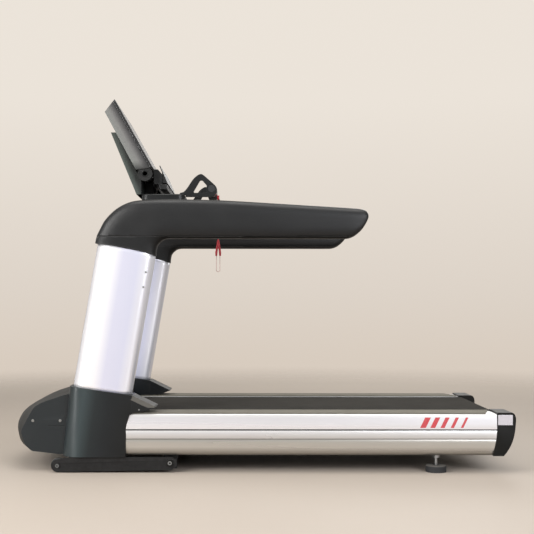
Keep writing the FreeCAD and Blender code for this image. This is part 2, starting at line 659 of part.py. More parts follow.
def makeDisplay():
    low, top, back, heel = displayRuns()
    whole = polySlab([low, top, back, heel], -displayHalf, displayHalf)
    run = V(top[0] - low[0], 0, top[1] - low[1])
    run.normalize()
    away = V(-run.z, 0, run.x)
    if away.x > 0:
        away = away * -1
    cut0 = (low[0] + away.x * bezelDepth, low[1] + away.z * bezelDepth)
    cut1 = (top[0] + away.x * bezelDepth, top[1] + away.z * bezelDepth)
    far0 = (cut0[0] - run.x * 200, cut0[1] - run.z * 200)
    far1 = (cut1[0] + run.x * 200, cut1[1] + run.z * 200)
    ahead0 = (far0[0] - away.x * 300, far0[1] - away.z * 300)
    ahead1 = (far1[0] - away.x * 300, far1[1] - away.z * 300)
    frontHalf = polySlab([far0, far1, ahead1, ahead0], -500, 500)
    gap = V(away.x * 0.2, 0, away.z * 0.2)
    bezel = whole.common(frontHalf)
    rear = whole.cut(frontHalf.translated(gap))
    hollow = polySlab([(low[0] - 17, low[1] + 6), (top[0] - 8, top[1] - 30),
                       (back[0] + 9, back[1] - 2), (heel[0] + 3, heel[1] + 6)], -displayHalf + 4, displayHalf - 4)
    hollow = hollow.cut(frontHalf.translated(gap * -1).translated(V(away.x * -60, 0, away.z * -60)))
    rear = rear.cut(hollow)
    bosses = both(rodY(tiltX, tiltZ, bossRadius, 276, 304))
    stem = both(polySlab([(-520, 1290), (-470, 1290), (-474, 1316), (-528, 1310)], 276, 304))
    rear = fuse([rear] + bosses + stem)
    rear = rear.cut(frontHalf.translated(gap))
    rear = rear.cut(rodY(tiltX, tiltZ, tiltTubeRadius + runFit, -400, 400))
    save("display_shell", rear)
    face0 = V(low[0] + run.x * 26, 0, low[1] + run.z * 26)
    face1 = V(top[0] - run.x * 20, 0, top[1] - run.z * 20)
    pocket = [(face0.x - away.x * 5, face0.z - away.z * 5), (face1.x - away.x * 5, face1.z - away.z * 5),
              (face1.x + away.x * 4, face1.z + away.z * 4), (face0.x + away.x * 4, face0.z + away.z * 4)]
    bezel = bezel.cut(polySlab(pocket, -displayHalf + 22, displayHalf - 22))
    save("display_bezel", bezel)
    pane = [(face0.x + away.x * 0.6, face0.z + away.z * 0.6), (face1.x + away.x * 0.6, face1.z + away.z * 0.6),
            (face1.x + away.x * 3.9, face1.z + away.z * 3.9), (face0.x + away.x * 3.9, face0.z + away.z * 3.9)]
    save("display_glass", polySlab(pane, -displayHalf + 22.2, displayHalf - 22.2))


def makeLedge():
    ledge = polySlab([(-458.0, 1310.0), (-442.0, 1310.0), (-425.0, 1290.0), (-425.0, 1243.0),
                      (-460.0, 1243.0), (-462.5, 1308.0)], -262.0, 262.0)
    ledge = ledge.fuse(polySlab([(-425.0, 1243.0), (-401.0, 1243.0), (-401.0, 1221.0),
                                 (-432.0, 1221.0), (-440.0, 1243.0)], -262.0, 262.0)).removeSplitter()
    blade = polySlab([(-424.6, 1296.0), (-424.6, 1250.0), (-401.0, 1250.0), (-403.0, 1256.0),
                      (-433.0, 1328.0), (-437.0, 1327.0), (-424.6, 1297.0)], -250.0, 250.0)
    save("tablet_ledge", ledge)
    save("ledge_lip", blade.cut(ledge))


def makeSupport():
    # The neck's front is cut low, so that the ledge swings over it when the display tilts.
    neck = polySlab([(-514.0, dashHigh), (-450.0, dashHigh), (-450.0, 1204.0), (-476.0, 1222.0),
                     (-479.0, tiltZ), (-514.0, tiltZ)], -90.0, 90.0)
    tube = rodY(tiltX, tiltZ, tiltTubeRadius, -306.0, 306.0).cut(rodY(tiltX, tiltZ, 10.0, -310.0, 310.0))
    saddle = rodY(tiltX, tiltZ, 18.0, -90.0, 90.0)
    hub = fuse([neck, saddle]).cut(rodY(tiltX, tiltZ, tiltTubeRadius, -400.0, 400.0))
    save("display_neck", fuse([hub, tube]))
    low, top, back, heel = displayRuns()
    slope = (back[0] - heel[0]) / (back[1] - heel[1])
    topZ, lowZ, footX0, footX1 = 1471.0, dashHigh + 1.0, -536.0, -514.4
    wedge = [(-649.0, topZ), (footX0, lowZ), (footX1, lowZ), (footX1, 1262.0),
             (heel[0] - 2.0 - supportGap, heel[1]),
             (heel[0] + slope * (topZ - heel[1]) - supportGap, topZ)]
    sides = [[a, b] for a, b in zip(wedge, wedge[1:] + wedge[:1])]
    hollow = insetSlab(sides, supportWall, -supportHalf + supportWall, supportHalf - supportWall)
    hollow = hollow.fuse(hollow.translated(V(0, 0, -2 * supportWall)))
    save("display_support", polySlab(wedge, -supportHalf, supportHalf).cut(hollow))


# ---- grip loops, bar and safety key --------------------------------------

def makeLoops():
    outer = [[(-346.0, dashHigh + 0.1), (-346.0, 1206.0)], [(-346.0, 1206.0), (-330.0, 1210.0)],
             [(-330.0, 1210.0), (-300.0, 1248.0), (-268.0, 1284.0), (-252.0, 1290.0), (-232.0, 1278.0),
              (-200.0, 1250.0), (-184.0, 1232.0), (-181.0, 1214.0), (-190.0, 1197.0), (-212.0, 1189.0)],
             [(-212.0, 1189.0), (-320.0, 1189.0)], [(-320.0, 1189.0), (-321.0, dashHigh + 0.1)],
             [(-321.0, dashHigh + 0.1), (-346.0, dashHigh + 0.1)]]
    loop = slab(outer, loopInnerY, loopOuterY)
    hole = polySlab([(-288.0, 1207.0), (-256.0, 1262.0), (-246.0, 1262.0), (-227.0, 1240.0),
                     (-227.0, 1207.0)], loopInnerY - 5, loopOuterY + 5)
    hole = filletAlong(hole, 5.0, lambda e: e.BoundBox.YLength > 20)
    loop = loop.cut(hole).cut(rodY(barX, barZ, barRadius + runFit, 200, 300))
    savePair("grip_loops", loop)
    save("grip_bar", rodY(barX, barZ, barRadius, -loopOuterY + 1, loopOuterY - 1)
         .cut(rodY(barX, barZ, barRadius - 2.5, -loopOuterY + 4, loopOuterY - 4)))
    sleeve = rodY(barX, barZ, barRadius + 1.6, 95, 205).cut(rodY(barX, barZ, barRadius + runFit, 90, 210))
    savePair("pulse_sensors", sleeve)
    pod = box(-229, -188, -34, 34, 1203, 1250)
    pod = filletAlong(pod, 8.0, lambda e: e.BoundBox.YLength > 60)
    pod = pod.cut(rodY(barX, barZ, barRadius + runFit, -50, 50))
    pod = pod.cut(rodZ(-208.0, 0.0, 6.4, 1243.5, 1260))
    pod = pod.cut(box(-195, -180, -6.4, 6.4, 1207.6, 1213.4 + 1))
    save("switch_pod", pod)
    stop = rodZ(-208.0, 0.0, 6.0, 1249.0, 1257.0).fuse(rodZ(-208.0, 0.0, 14.0, 1257.0, 1265.0))
    stop = filletAlong(stop.removeSplitter(), 3.0, lambda e: e.BoundBox.ZMin > 1264.9)
    save("emergency_stop", stop)


def makeKey():
    key = box(-192, -186, -6, 6, 1208, 1214)
    grip = box(-187.7, -178, -13, 13, 1202, 1222)
    grip = filletAlong(grip, 3.0, lambda e: e.BoundBox.XLength > 9)
    save("safety_key", fuse([key, grip]))
    save("lanyard_cord", rodZ(keyX, 0.0, cordRadius, cordEndZ, 1201.6))
    jaw = [(-4.0, 1016.5), (4.0, 1016.5), (14.0, 955.0), (13.0, clipLowZ), (5.0, clipLowZ), (0.0, 985.0)]
    jawLeft = [(-4.0, 1016.5), (0.0, 985.0), (-5.0, clipLowZ), (-13.0, clipLowZ), (-14.0, 955.0)]
    right = polySlab([(keyX + x, z) for x, z in jaw], -6.0, 6.0)
    left = polySlab([(keyX + x, z) for x, z in jawLeft], -6.0, 6.0)
    clip = filletAlong(fuse([right, left]), 1.4, lambda e: e.BoundBox.YLength < 0.1 and e.Length > 12)
    save("lanyard_clip", clip)
    legs = [rodZ(keyX - 8, 0, 1.3, clipLoopLowZ + 8, clipLowZ - 0.4),
            rodZ(keyX + 8, 0, 1.3, clipLoopLowZ + 8, clipLowZ - 0.4)]
    bend = Part.makeTorus(8.0, 1.3, V(keyX, 0, clipLoopLowZ + 8), V(0, 1, 0))
    bend = bend.common(box(keyX - 12, keyX + 12, -3, 3, clipLoopLowZ - 3, clipLoopLowZ + 8))
    save("clip_loop", fuse(legs + [bend]))


# ---- drive motor ---------------------------------------------------------

def makeDrive():
    case = rodY(motorX, motorZ, motorRadius, -262, -80)
    case = filletAlong(case, 6.0, lambda e: e.Length > 300 and e.BoundBox.YLength < 0.1)
    feet = [box(motorX - 45, motorX + 45, y, y + 26, motorPlateTop + 0.02, motorZ - motorRadius + 14)
            for y in (-240.0, -130.0)]
    case = fuse([case] + feet)
    save("drive_motor", case.cut(rodY(motorX, motorZ, axleRadius + runFit, -300, -120)))
    shaft = rodY(motorX, motorZ, axleRadius, -pulleyOuterY, -122)
    pulley = rodY(motorX, motorZ, motorPulleyRadius, -pulleyOuterY, -pulleyInnerY)
    wheel = rodY(motorX, motorZ, motorRadius - 2, -292, -268)
    save("motor_rotor", fuse([shaft, pulley, wheel]))
    span = (-pulleyOuterY + 1, -pulleyInnerY - 1)
    wide = (-pulleyOuterY, -pulleyInnerY)
    outerLoop = stadium(driveBeltThick + slipGap, span, frontRollerX, rollerZ, rollerPulleyRadius,
                        motorX, motorZ, motorPulleyRadius)
    innerLoop = stadium(slipGap, wide, frontRollerX, rollerZ, rollerPulleyRadius,
                        motorX, motorZ, motorPulleyRadius)
    save("drive_belt", outerLoop.cut(innerLoop))
    base = box(-900, -806, 60, 260, motorPlateTop + 0.02, motorPlateTop + 8)
    fins = [box(-896 + 12 * i, -892 + 12 * i, 64, 256, motorPlateTop + 8, motorPlateTop + 48) for i in range(8)]
    save("motor_controller", fuse([base] + fins))


# ---- incline lift --------------------------------------------------------

def leverPin():
    swing = math.radians(leverHalfSwing)
    return liftPivotX + leverRadius * math.sin(swing), liftPivotZ + leverRadius * math.cos(swing)


def makeLift():
    pinX, pinZ = leverPin()
    outline = [(wheelX, 4.0), (liftPivotX + 6, 12.0), (liftPivotX + 28, 30.0), (liftPivotX + 28, 54.0),
               (liftPivotX + 6, 66.0), (wheelX + 60, 66.0), (wheelX, wheelRadius + 26)]
    bar = polySlab(outline, liftBarInnerY, liftBarOuterY)
    bar = bar.fuse(rodY(wheelX, wheelRadius, 26.0, liftBarInnerY, liftBarOuterY))
    inboard = polySlab([(wheelX + 40, 12.0), (liftPivotX + 28, 12.0), (liftPivotX + 28, 50.0),
                        (liftPivotX + 10, 62.0), (wheelX + 40, 62.0)], 392.0, 397.0)
    inboard = inboard.fuse(rodY(wheelX, wheelRadius, 24.0, 392.0, 397.0))
    inboard = inboard.fuse(box(wheelX, wheelX + 60, 392, 397, 14, 54))
    webPlate = box(wheelX + 45, liftPivotX - 20, 396.0, liftBarInnerY + 1, 58.0, 62.0)
    pieces = []
    for piece in (bar, inboard, webPlate):
        pieces += both(piece)
    cross = rodY(liftCrossX, liftCrossZ, 24.0, -393.0, 393.0)
    pieces.append(cross.cut(rodY(liftCrossX, liftCrossZ, 21.0, -394.0, 394.0)))
    for y in (26.0, -34.0):
        pieces.append(box(liftCrossX, liftPivotX, y, y + 8, 24, 56).cut(
            rodY(liftCrossX, liftCrossZ, 22.0, -50, 50)))
        swing = polySlab([(liftPivotX - 26, 24.0), (liftPivotX + 22, 24.0), (pinX + 15, pinZ + 6),
                          (pinX + 8, pinZ + 15), (pinX - 8, pinZ + 15), (liftPivotX - 26, 60.0)], y, y + 8)
        pieces.append(swing)
    pieces.append(rodY(liftPivotX, liftPivotZ, 20.0, -36.0, 36.0))
    pieces.append(rodY(pinX, pinZ, 7.0, -33.0, 33.0))
    lift = fuse(pieces)
    lift = lift.cut(rodY(liftPivotX, liftPivotZ, liftPivotRadius + runFit, -500, 500))
    lift = lift.cut(Part.makeCompound(both(rodY(wheelX, wheelRadius, 6.0 + runFit, 380, 500))))
    save("lift_frame", lift)
    shaft = rodY(liftPivotX, liftPivotZ, liftPivotRadius, -liftBarOuterY, liftBarOuterY)
    heads = both(rodY(liftPivotX, liftPivotZ, 14.0, liftBarOuterY + 0.3, liftBarOuterY + 6))
    neck = both(rodY(liftPivotX, liftPivotZ, 6.0, liftBarOuterY - 1, liftBarOuterY + 1))
    save("lift_pivot_shaft", fuse([shaft] + heads + neck))
    bolt = rodY(wheelX, wheelRadius, 6.0, 392.0, liftBarOuterY)
    savePair("wheel_bolts", fuse([bolt, rodY(wheelX, wheelRadius, 10.0, liftBarOuterY, liftBarOuterY + 5)]))
    wheel = rodY(wheelX, wheelRadius, wheelRadius, wheelInnerY, wheelOuterY)
    wheel = filletAlong(wheel, 3.0, lambda e: e.Length > 150 and e.BoundBox.YLength < 0.1)
    saveSides("lift_wheel", wheel.cut(rodY(wheelX, wheelRadius, 6.0 + runFit, 380, 500)))
    return pinX, pinZ


def makeActuator(pinX):
    slotHigh = 9.2
    rod = rodX(0.0, actuatorZ, 13.0, pinX + 16, -200)
    end = box(pinX - 14, pinX + 20, -22, 22, actuatorZ - 17, actuatorZ + 17)
    slot = box(pinX - 7.3, pinX + 7.3, -30, 30, actuatorZ - slotHigh, actuatorZ + slotHigh)
    save("actuator_rod", fuse([rod, end]).cut(slot))
    sleeve = rodX(0.0, actuatorZ, 21.0, -312, -150).cut(rodX(0.0, actuatorZ, 13.0 + runFit, -313, -190))
    gear = box(-152, -96, -40, 40, actuatorZ - 32, actuatorZ + 30)
    can = rodY(-124.0, actuatorZ, 27.0, 40, 150)
    bracket = box(-97, -70 - 0.02, -30, 30, actuatorZ - 24, actuatorZ + 2)
    save("lift_actuator", fuse([sleeve, gear, can, bracket]))


makeFeet()
makeFrame()
makeDeck()
makeBelt()
makeRollers()
makeTension()
makeRails()
makeCaps()
makeHood()
makeInlet()
makeBoots()
makeUprights()
makeScrews()
makeArms()
makeDash()
makeDisplay()
makeLedge()
makeSupport()
makeLoops()
makeKey()
makeDrive()
actuatorPinX = makeLift()[0]
makeActuator(actuatorPinX)
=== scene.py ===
import json
import math

import bmesh
import bpy
import numpy as np
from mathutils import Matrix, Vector


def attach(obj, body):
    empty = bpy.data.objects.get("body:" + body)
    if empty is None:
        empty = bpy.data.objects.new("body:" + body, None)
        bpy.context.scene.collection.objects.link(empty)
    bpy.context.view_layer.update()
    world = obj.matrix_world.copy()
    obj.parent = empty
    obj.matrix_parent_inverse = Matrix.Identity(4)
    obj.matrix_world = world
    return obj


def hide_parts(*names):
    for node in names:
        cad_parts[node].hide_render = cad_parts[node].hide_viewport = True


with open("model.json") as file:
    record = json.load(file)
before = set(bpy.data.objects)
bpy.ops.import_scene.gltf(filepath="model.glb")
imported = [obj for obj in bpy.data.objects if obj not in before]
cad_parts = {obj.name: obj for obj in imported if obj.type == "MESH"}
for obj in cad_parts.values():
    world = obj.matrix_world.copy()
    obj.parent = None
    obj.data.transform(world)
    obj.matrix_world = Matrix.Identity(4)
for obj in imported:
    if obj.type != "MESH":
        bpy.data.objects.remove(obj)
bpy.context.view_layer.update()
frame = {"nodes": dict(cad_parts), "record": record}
print("frame loaded:", len(frame["nodes"]), "nodes")

scene = bpy.context.scene
scene.view_settings.view_transform = "Standard"


cameraSet = {
    "place": (-0.048, -4.55, 0.728),
    "lens": 65.45,
    "sensor": 36.0,
    "shiftX": 0.0375,
    "shiftY": 0.0637,
    "roll": -0.04,
}

studioSet = {
    "ambient": (0.80, 0.77, 0.73),
    "ambientStrength": 0.62,
    # What stands behind the object, by the height of the line of sight
    "backdrop": ((0.30, "d5c9bb"), (0.47, "d8ccbf"), (0.505, "ddd3c8"), (0.60, "ebe3d9"),
                 (1.0, "f0e9df")),
    "floorRadius": 9.0,
    "floorCentre": 0.01,
    "floorSides": 64,
    "fadeFrom": 2.6,
    "fadeTo": 6.5,
}

lightSet = [
    # Name, place, aimed at, width, height, watts, colour
    ("keyLight", (-3.4, -3.4, 2.9), (-0.5, -0.3, 0.8), 2.2, 2.6, 165, (1.0, 0.985, 0.96)),
    ("fillLight", (2.6, -4.2, 2.2), (-0.3, 0.1, 0.7), 2.6, 2.2, 150, (0.93, 0.95, 1.0)),
    ("stripLight", (-3.1, -2.3, 0.9), (-0.75, -0.40, 0.35), 0.5, 2.0, 55, (1.0, 1.0, 1.0)),
    ("topLight", (0.0, -0.6, 4.2), (0.0, 0.0, 0.4), 3.4, 2.2, 105, (1.0, 0.99, 0.97)),
    ("backLight", (1.6, 4.6, 3.2), (0.0, 0.0, 0.6), 2.6, 2.2, 70, (1.0, 0.99, 0.97)),
]


# Puts the data into the scene as an object
def newObject(name, data):
    item = bpy.data.objects.new(name, data)
    scene.collection.objects.link(item)
    return item


def makeCamera():
    data = bpy.data.cameras.new("camera")
    data.sensor_width = cameraSet["sensor"]
    data.lens = cameraSet["lens"]
    data.shift_x = cameraSet["shiftX"]
    data.shift_y = cameraSet["shiftY"]
    camera = newObject("camera", data)
    camera.location = cameraSet["place"]
    camera.rotation_euler = (math.radians(90), math.radians(cameraSet["roll"]), 0)
    scene.camera = camera


# An even light from all round; seen directly it is a soft backdrop, paler upwards
def makeWorld():
    world = bpy.data.worlds.new("studioWorld")
    scene.world = world
    world.use_nodes = True
    tree = world.node_tree
    even = tree.nodes["Background"]
    even.inputs["Color"].default_value = (*studioSet["ambient"], 1)
    even.inputs["Strength"].default_value = studioSet["ambientStrength"]
    sight = addNode(tree, "ShaderNodeTexCoord")
    split = addNode(tree, "ShaderNodeSeparateXYZ", None, i0=(sight, "Generated"))
    height = remap(tree, (split, "Z"), -1.0, 1.0)
    ramp = addRamp(tree, (height, 0), studioSet["backdrop"])
    seen = addNode(tree, "ShaderNodeBackground", None, Color=(ramp, 0))
    path = addNode(tree, "ShaderNodeLightPath")
    both = addNode(tree, "ShaderNodeMixShader", None, i0=(path, "Is Camera Ray"), i1=(even, 0),
                   i2=(seen, 0))
    tree.links.new(both.outputs[0], tree.nodes["World Output"].inputs["Surface"])


def makeLights():
    for name, place, target, width, height, watts, colour in lightSet:
        data = bpy.data.lights.new(name, "AREA")
        data.shape = "RECTANGLE"
        data.size = width
        data.size_y = height
        data.energy = watts
        data.color = colour
        lamp = newObject(name, data)
        lamp.location = place
        lamp.rotation_euler = (Vector(target) - Vector(place)).to_track_quat("-Z", "Y").to_euler()
        lamp.visible_camera = False


# Corner numbers of the quads between neighbouring rows; a closed grid also joins its last column
# to its first
def gridFaces(rows, cols, closed):
    i, j = np.meshgrid(np.arange(rows - 1), np.arange(cols if closed else cols - 1), indexing="ij")
    k = (j + 1) % cols
    quads = np.stack([i * cols + j, i * cols + k, (i + 1) * cols + k, (i + 1) * cols + j], -1)
    return quads.reshape(-1, 4)


# The points and faces as an object
def meshObject(name, points, faces):
    mesh = bpy.data.meshes.new(name)
    corners = [list(map(int, face)) for face in faces]
    mesh.from_pydata(np.asarray(points, float).reshape(-1, 3).tolist(), [], corners)
    mesh.validate()
    return newObject(name, mesh)


# Smooth shading, with edges sharper than the angle kept crisp
def smooth(piece, angle):
    mesh = piece.data
    mesh.shade_smooth()
    mesh.set_sharp_from_angle(angle=math.radians(angle))


# A wall drawn inwards from the piece's surface
def addWall(piece, thickness):
    wall = piece.modifiers.new("wall", "SOLIDIFY")
    wall.thickness = thickness
    wall.offset = -1


# Cuts every face along a plane, and clears one side of it if asked
def cutPlane(mesh, place, normal, **clear):
    everything = mesh.verts[:] + mesh.edges[:] + mesh.faces[:]
    bmesh.ops.bisect_plane(mesh, geom=everything, plane_co=place, plane_no=normal, **clear)


# Gives a piece its body, its finish and the CAD nodes that it stands for
def finishPiece(piece, body, slotName, material, *nodes):
    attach(piece, body)
    if nodes:
        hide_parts(*nodes)
    piece.data.materials.clear()
    piece.data.materials.append(material)


# Several (points, faces) pairs as one
def joinGrids(grids):
    points, faces, start = [], [], 0
    for p, f in grids:
        p = np.asarray(p, float).reshape(-1, 3)
        points.append(p)
        faces += [[int(i) + start for i in face] for face in f]
        start += len(p)
    return np.concatenate(points), faces


# A skin over closed rings: sections[i, j] is point j of ring i, and one face closes each end
def loft(sections, capped=True):
    rings, around, _ = sections.shape
    faces = gridFaces(rings, around, True).tolist()
    if capped:
        faces.append(list(range(around))[::-1])
        faces.append([(rings - 1) * around + j for j in range(around)])
    return sections.reshape(-1, 3), faces


# Turns every face outwards
def outward(piece):
    mesh = bmesh.new()
    mesh.from_mesh(piece.data)
    bmesh.ops.remove_doubles(mesh, verts=mesh.verts, dist=1e-6)
    bmesh.ops.recalc_face_normals(mesh, faces=mesh.faces)
    mesh.to_mesh(piece.data)
    mesh.free()
    return piece


# The other side's copy, y turned about, with its corners taken the other way round
def mirrorY(points, faces):
    return points * np.array([1, -1, 1]), [list(f)[::-1] for f in faces]


def bothSides(points, faces):
    return joinGrids([(points, faces), mirrorY(np.asarray(points).reshape(-1, 3), faces)])


# Evenly spaced points on a smooth line through the given ones (Catmull-Rom, by chord length)
def curveThrough(points, count):
    p = np.asarray(points, float)
    ends = np.vstack([2 * p[0] - p[1], p, 2 * p[-1] - p[-2]])
    t = np.linspace(0, len(p) - 1 - 1e-9, count * 6)
    i = t.astype(int)
    f = (t - i)[:, None]
    a, b, c, d = ends[i], ends[i + 1], ends[i + 2], ends[i + 3]
    bent = (2 * a - 5 * b + 4 * c - d) * f ** 2 + (3 * b - a - 3 * c + d) * f ** 3
    line = 0.5 * (2 * b + (c - a) * f + bent)
    run = np.concatenate([[0], np.cumsum(np.linalg.norm(np.diff(line, axis=0), axis=1))])
    even = np.linspace(0, run[-1], count)
    return np.stack([np.interp(even, run, line[:, k]) for k in range(line.shape[1])], -1)


# Ring of a rectangle with its own radius at each corner, counter-clockwise from (+a, -b)
def roundRing(halfA, halfB, radii, steps):
    centres = [(1, -1), (1, 1), (-1, 1), (-1, -1)]
    parts = []
    for k, (sa, sb) in enumerate(centres):
        turn = np.linspace(-math.pi / 2 + k * math.pi / 2, k * math.pi / 2, steps)
        r = radii[k]
        a, b = sa * (halfA - r) + r * np.cos(turn), sb * (halfB - r) + r * np.sin(turn)
        parts.append(np.stack([a, b], -1))
    return np.concatenate(parts)


# The ring with points added wherever two neighbours lie further apart than the step
def closeRing(ring, step):
    ahead = np.roll(ring, -1, axis=0)
    parts = [a + (b - a) * np.linspace(0, 1, max(2, int(np.linalg.norm(b - a) / step) + 1))[:-1, None]
             for a, b in zip(ring, ahead)]
    return np.concatenate(parts)


softSet = {"weld": 2e-5, "flatAngle": 1.5, "edgeAngle": 35}


# A copy of the CAD solid with its flat faces merged and its sharp edges rounded off
def softened(node, width, segments):
    mesh = bmesh.new()
    mesh.from_mesh(frame["nodes"][node].data)
    bmesh.ops.remove_doubles(mesh, verts=mesh.verts, dist=softSet["weld"])
    bmesh.ops.dissolve_limit(mesh, angle_limit=math.radians(softSet["flatAngle"]), verts=mesh.verts,
                             edges=mesh.edges)
    data = bpy.data.meshes.new(node + "Soft")
    mesh.to_mesh(data)
    mesh.free()
    piece = newObject(node + "Soft", data)
    bevel = piece.modifiers.new("bevel", "BEVEL")
    bevel.width = width
    bevel.segments = segments
    bevel.limit_method = "ANGLE"
    bevel.angle_limit = math.radians(softSet["edgeAngle"])
    bevel.use_clamp_overlap = True
    bevel.harden_normals = True
    smooth(piece, softSet["edgeAngle"])
    return piece


# A colour written as six hex digits, made linear for the shader
def paint(code):
    parts = [int(code[i:i + 2], 16) / 255 for i in (0, 2, 4)]
    return (*[c / 12.92 if c <= 0.04045 else ((c + 0.055) / 1.055) ** 2.4 for c in parts], 1.0)


def newGroup(name, inputs, outputs):
    group = bpy.data.node_groups.new(name, "ShaderNodeTree")
    for label, kind, value in inputs:
        socket = group.interface.new_socket(label, in_out="INPUT", socket_type=kind)
        socket.default_value = value
    for label, kind in outputs:
        group.interface.new_socket(label, in_out="OUTPUT", socket_type=kind)
    return group, group.nodes.new("NodeGroupInput"), group.nodes.new("NodeGroupOutput")


# A node with its settings; an input is given by name or as i and its number, with a plain value or
# a (node, output) to link
def addNode(tree, kind, settings=None, **links):
    node = tree.nodes.new(kind)
    for key, value in (settings or {}).items():
        setattr(node, key, value)
    for key, value in links.items():
        socket = node.inputs[int(key[1:])] if key[0] == "i" and key[1:].isdigit() else node.inputs[key]
        if isinstance(value, tuple) and hasattr(value[0], "outputs"):
            tree.links.new(value[0].outputs[value[1]], socket)
        else:
            socket.default_value = value
    return node


def mathNode(tree, operation, a, b=0.0, clamp=False):
    return addNode(tree, "ShaderNodeMath", {"operation": operation, "use_clamp": clamp}, i0=a, i1=b)


# A value carried from one range to another, and held at its ends
def remap(tree, value, fromMin, fromMax, toMin=0.0, toMax=1.0, kind="LINEAR"):
    return addNode(tree, "ShaderNodeMapRange", {"interpolation_type": kind}, i0=value, i1=fromMin,
                   i2=fromMax, i3=toMin, i4=toMax)


# Fine grain for the relief, and a broad mottle for colour and gloss
def makeGrainGroup():
    group, start, end = newGroup(
        "mouldedGrain",
        [("Grain Scale", "NodeSocketFloat", 900.0), ("Mottle Scale", "NodeSocketFloat", 9.0),
         ("Stretch", "NodeSocketVector", (1.0, 1.0, 1.0))],
        [("Grain", "NodeSocketFloat"), ("Mottle", "NodeSocketFloat")])
    where = addNode(group, "ShaderNodeTexCoord")
    pull = addNode(group, "ShaderNodeVectorMath", {"operation": "MULTIPLY"}, i0=(where, "Object"),
                   i1=(start, "Stretch"))
    fine = addNode(group, "ShaderNodeTexNoise", None, Vector=(pull, 0), Scale=(start, "Grain Scale"),
                   Detail=3.0, Roughness=0.6)
    broad = addNode(group, "ShaderNodeTexNoise", None, Vector=(pull, 0), Scale=(start, "Mottle Scale"),
                    Detail=4.0, Roughness=0.55)
    group.links.new(fine.outputs[0], end.inputs["Grain"])
    group.links.new(broad.outputs[0], end.inputs["Mottle"])
    return group


# A mask that is strong where its reading is high, broken up by noise
def makeMaskGroup(name, breakUp, detail, roughness, reading, low, high):
    group, start, end = newGroup(
        name, [("Amount", "NodeSocketFloat", 0.2), ("Break Up", "NodeSocketFloat", breakUp)],
        [("Mask", "NodeSocketFloat")])
    where = addNode(group, "ShaderNodeTexCoord")
    strong = remap(group, reading(group), low, high)
    patchy = addNode(group, "ShaderNodeTexNoise", None, Vector=(where, "Object"),
                     Scale=(start, "Break Up"), Detail=detail, Roughness=roughness)
    both = mathNode(group, "MULTIPLY", (strong, 0), (patchy, 0))
    mask = mathNode(group, "MULTIPLY", (both, 0), (start, "Amount"), True)
    group.links.new(mask.outputs[0], end.inputs["Mask"])
    return group


# How sharply the surface bends outwards
def edgeReading(group):
    return addNode(group, "ShaderNodeNewGeometry"), "Pointiness"


# How far the surface faces up
def upwardReading(group):
    shape = addNode(group, "ShaderNodeNewGeometry")
    return addNode(group, "ShaderNodeSeparateXYZ", None, i0=(shape, "Normal")), "Z"


grainGroup = makeGrainGroup()
wearGroup = makeMaskGroup("edgeWear", 60.0, 5.0, 0.65, edgeReading, 0.52, 0.62)
dustGroup = makeMaskGroup("settledDust", 14.0, 6.0, 0.7, upwardReading, 0.35, 1.0)


def placeGroup(tree, group, **values):
    node = tree.nodes.new("ShaderNodeGroup")
    node.node_tree = group
    for key, value in values.items():
        node.inputs[key.replace("_", " ")].default_value = value
    return node


def mixColour(tree, mask, a, b):
    node = tree.nodes.new("ShaderNodeMix")
    node.data_type = "RGBA"
    node.clamp_factor = True
    for socket, value in ((node.inputs[0], mask), (node.inputs[6], a), (node.inputs[7], b)):
        if isinstance(value, tuple) and hasattr(value[0], "outputs"):
            tree.links.new(value[0].outputs[value[1]], socket)
        else:
            socket.default_value = value
    return node


# A colour ramp with the given (place, colour) stops
def addRamp(tree, share, stops):
    ramp = addNode(tree, "ShaderNodeValToRGB", None, Fac=share)
    while len(ramp.color_ramp.elements) < len(stops):
        ramp.color_ramp.elements.new(0.5)
    for element, (place, code) in zip(ramp.color_ramp.elements, stops):
        element.position = place
        element.color = paint(code)
    return ramp


# Colours laid across the piece: the distance along a direction, from one value to another, picks the stop
def addGrade(tree, along, start, end, stops):
    where = addNode(tree, "ShaderNodeTexCoord")
    reach = addNode(tree, "ShaderNodeVectorMath", {"operation": "DOT_PRODUCT"}, i0=(where, "Object"),
                    i1=along)
    return addRamp(tree, (remap(tree, (reach, "Value"), start, end), 0), stops)


# Colours laid in rings round an axis across the object, through the given x and z
def addRings(tree, centre, reach, stops):
    where = addNode(tree, "ShaderNodeTexCoord")
    flat = addNode(tree, "ShaderNodeVectorMath", {"operation": "MULTIPLY"}, i0=(where, "Object"),
                   i1=(1.0, 0.0, 1.0))
    away = addNode(tree, "ShaderNodeVectorMath", {"operation": "DISTANCE"}, i0=(flat, 0),
                   i1=(centre[0], 0.0, centre[1]))
    return addRamp(tree, (remap(tree, (away, "Value"), 0.0, reach), 0), stops)


# What a finish has unless its own entry says otherwise
usualFinish = {
    "grain": 900.0, "mottle": 9.0, "stretch": (1.0, 1.0, 1.0), "wear": 0.25, "wornTo": "8a8a8a",
    "dust": 0.1, "dustTone": "b8b0a4", "shade": (0.86, 0.86, 0.88, 1.0), "fadeShadeTone": "0b0c0c",
    "roughSpread": 0.12, "metal": 0.0, "coat": 0.0, "coatRough": 0.12, "specular": 0.5, "relief": 0.25,
    "depth": 0.0004,
}


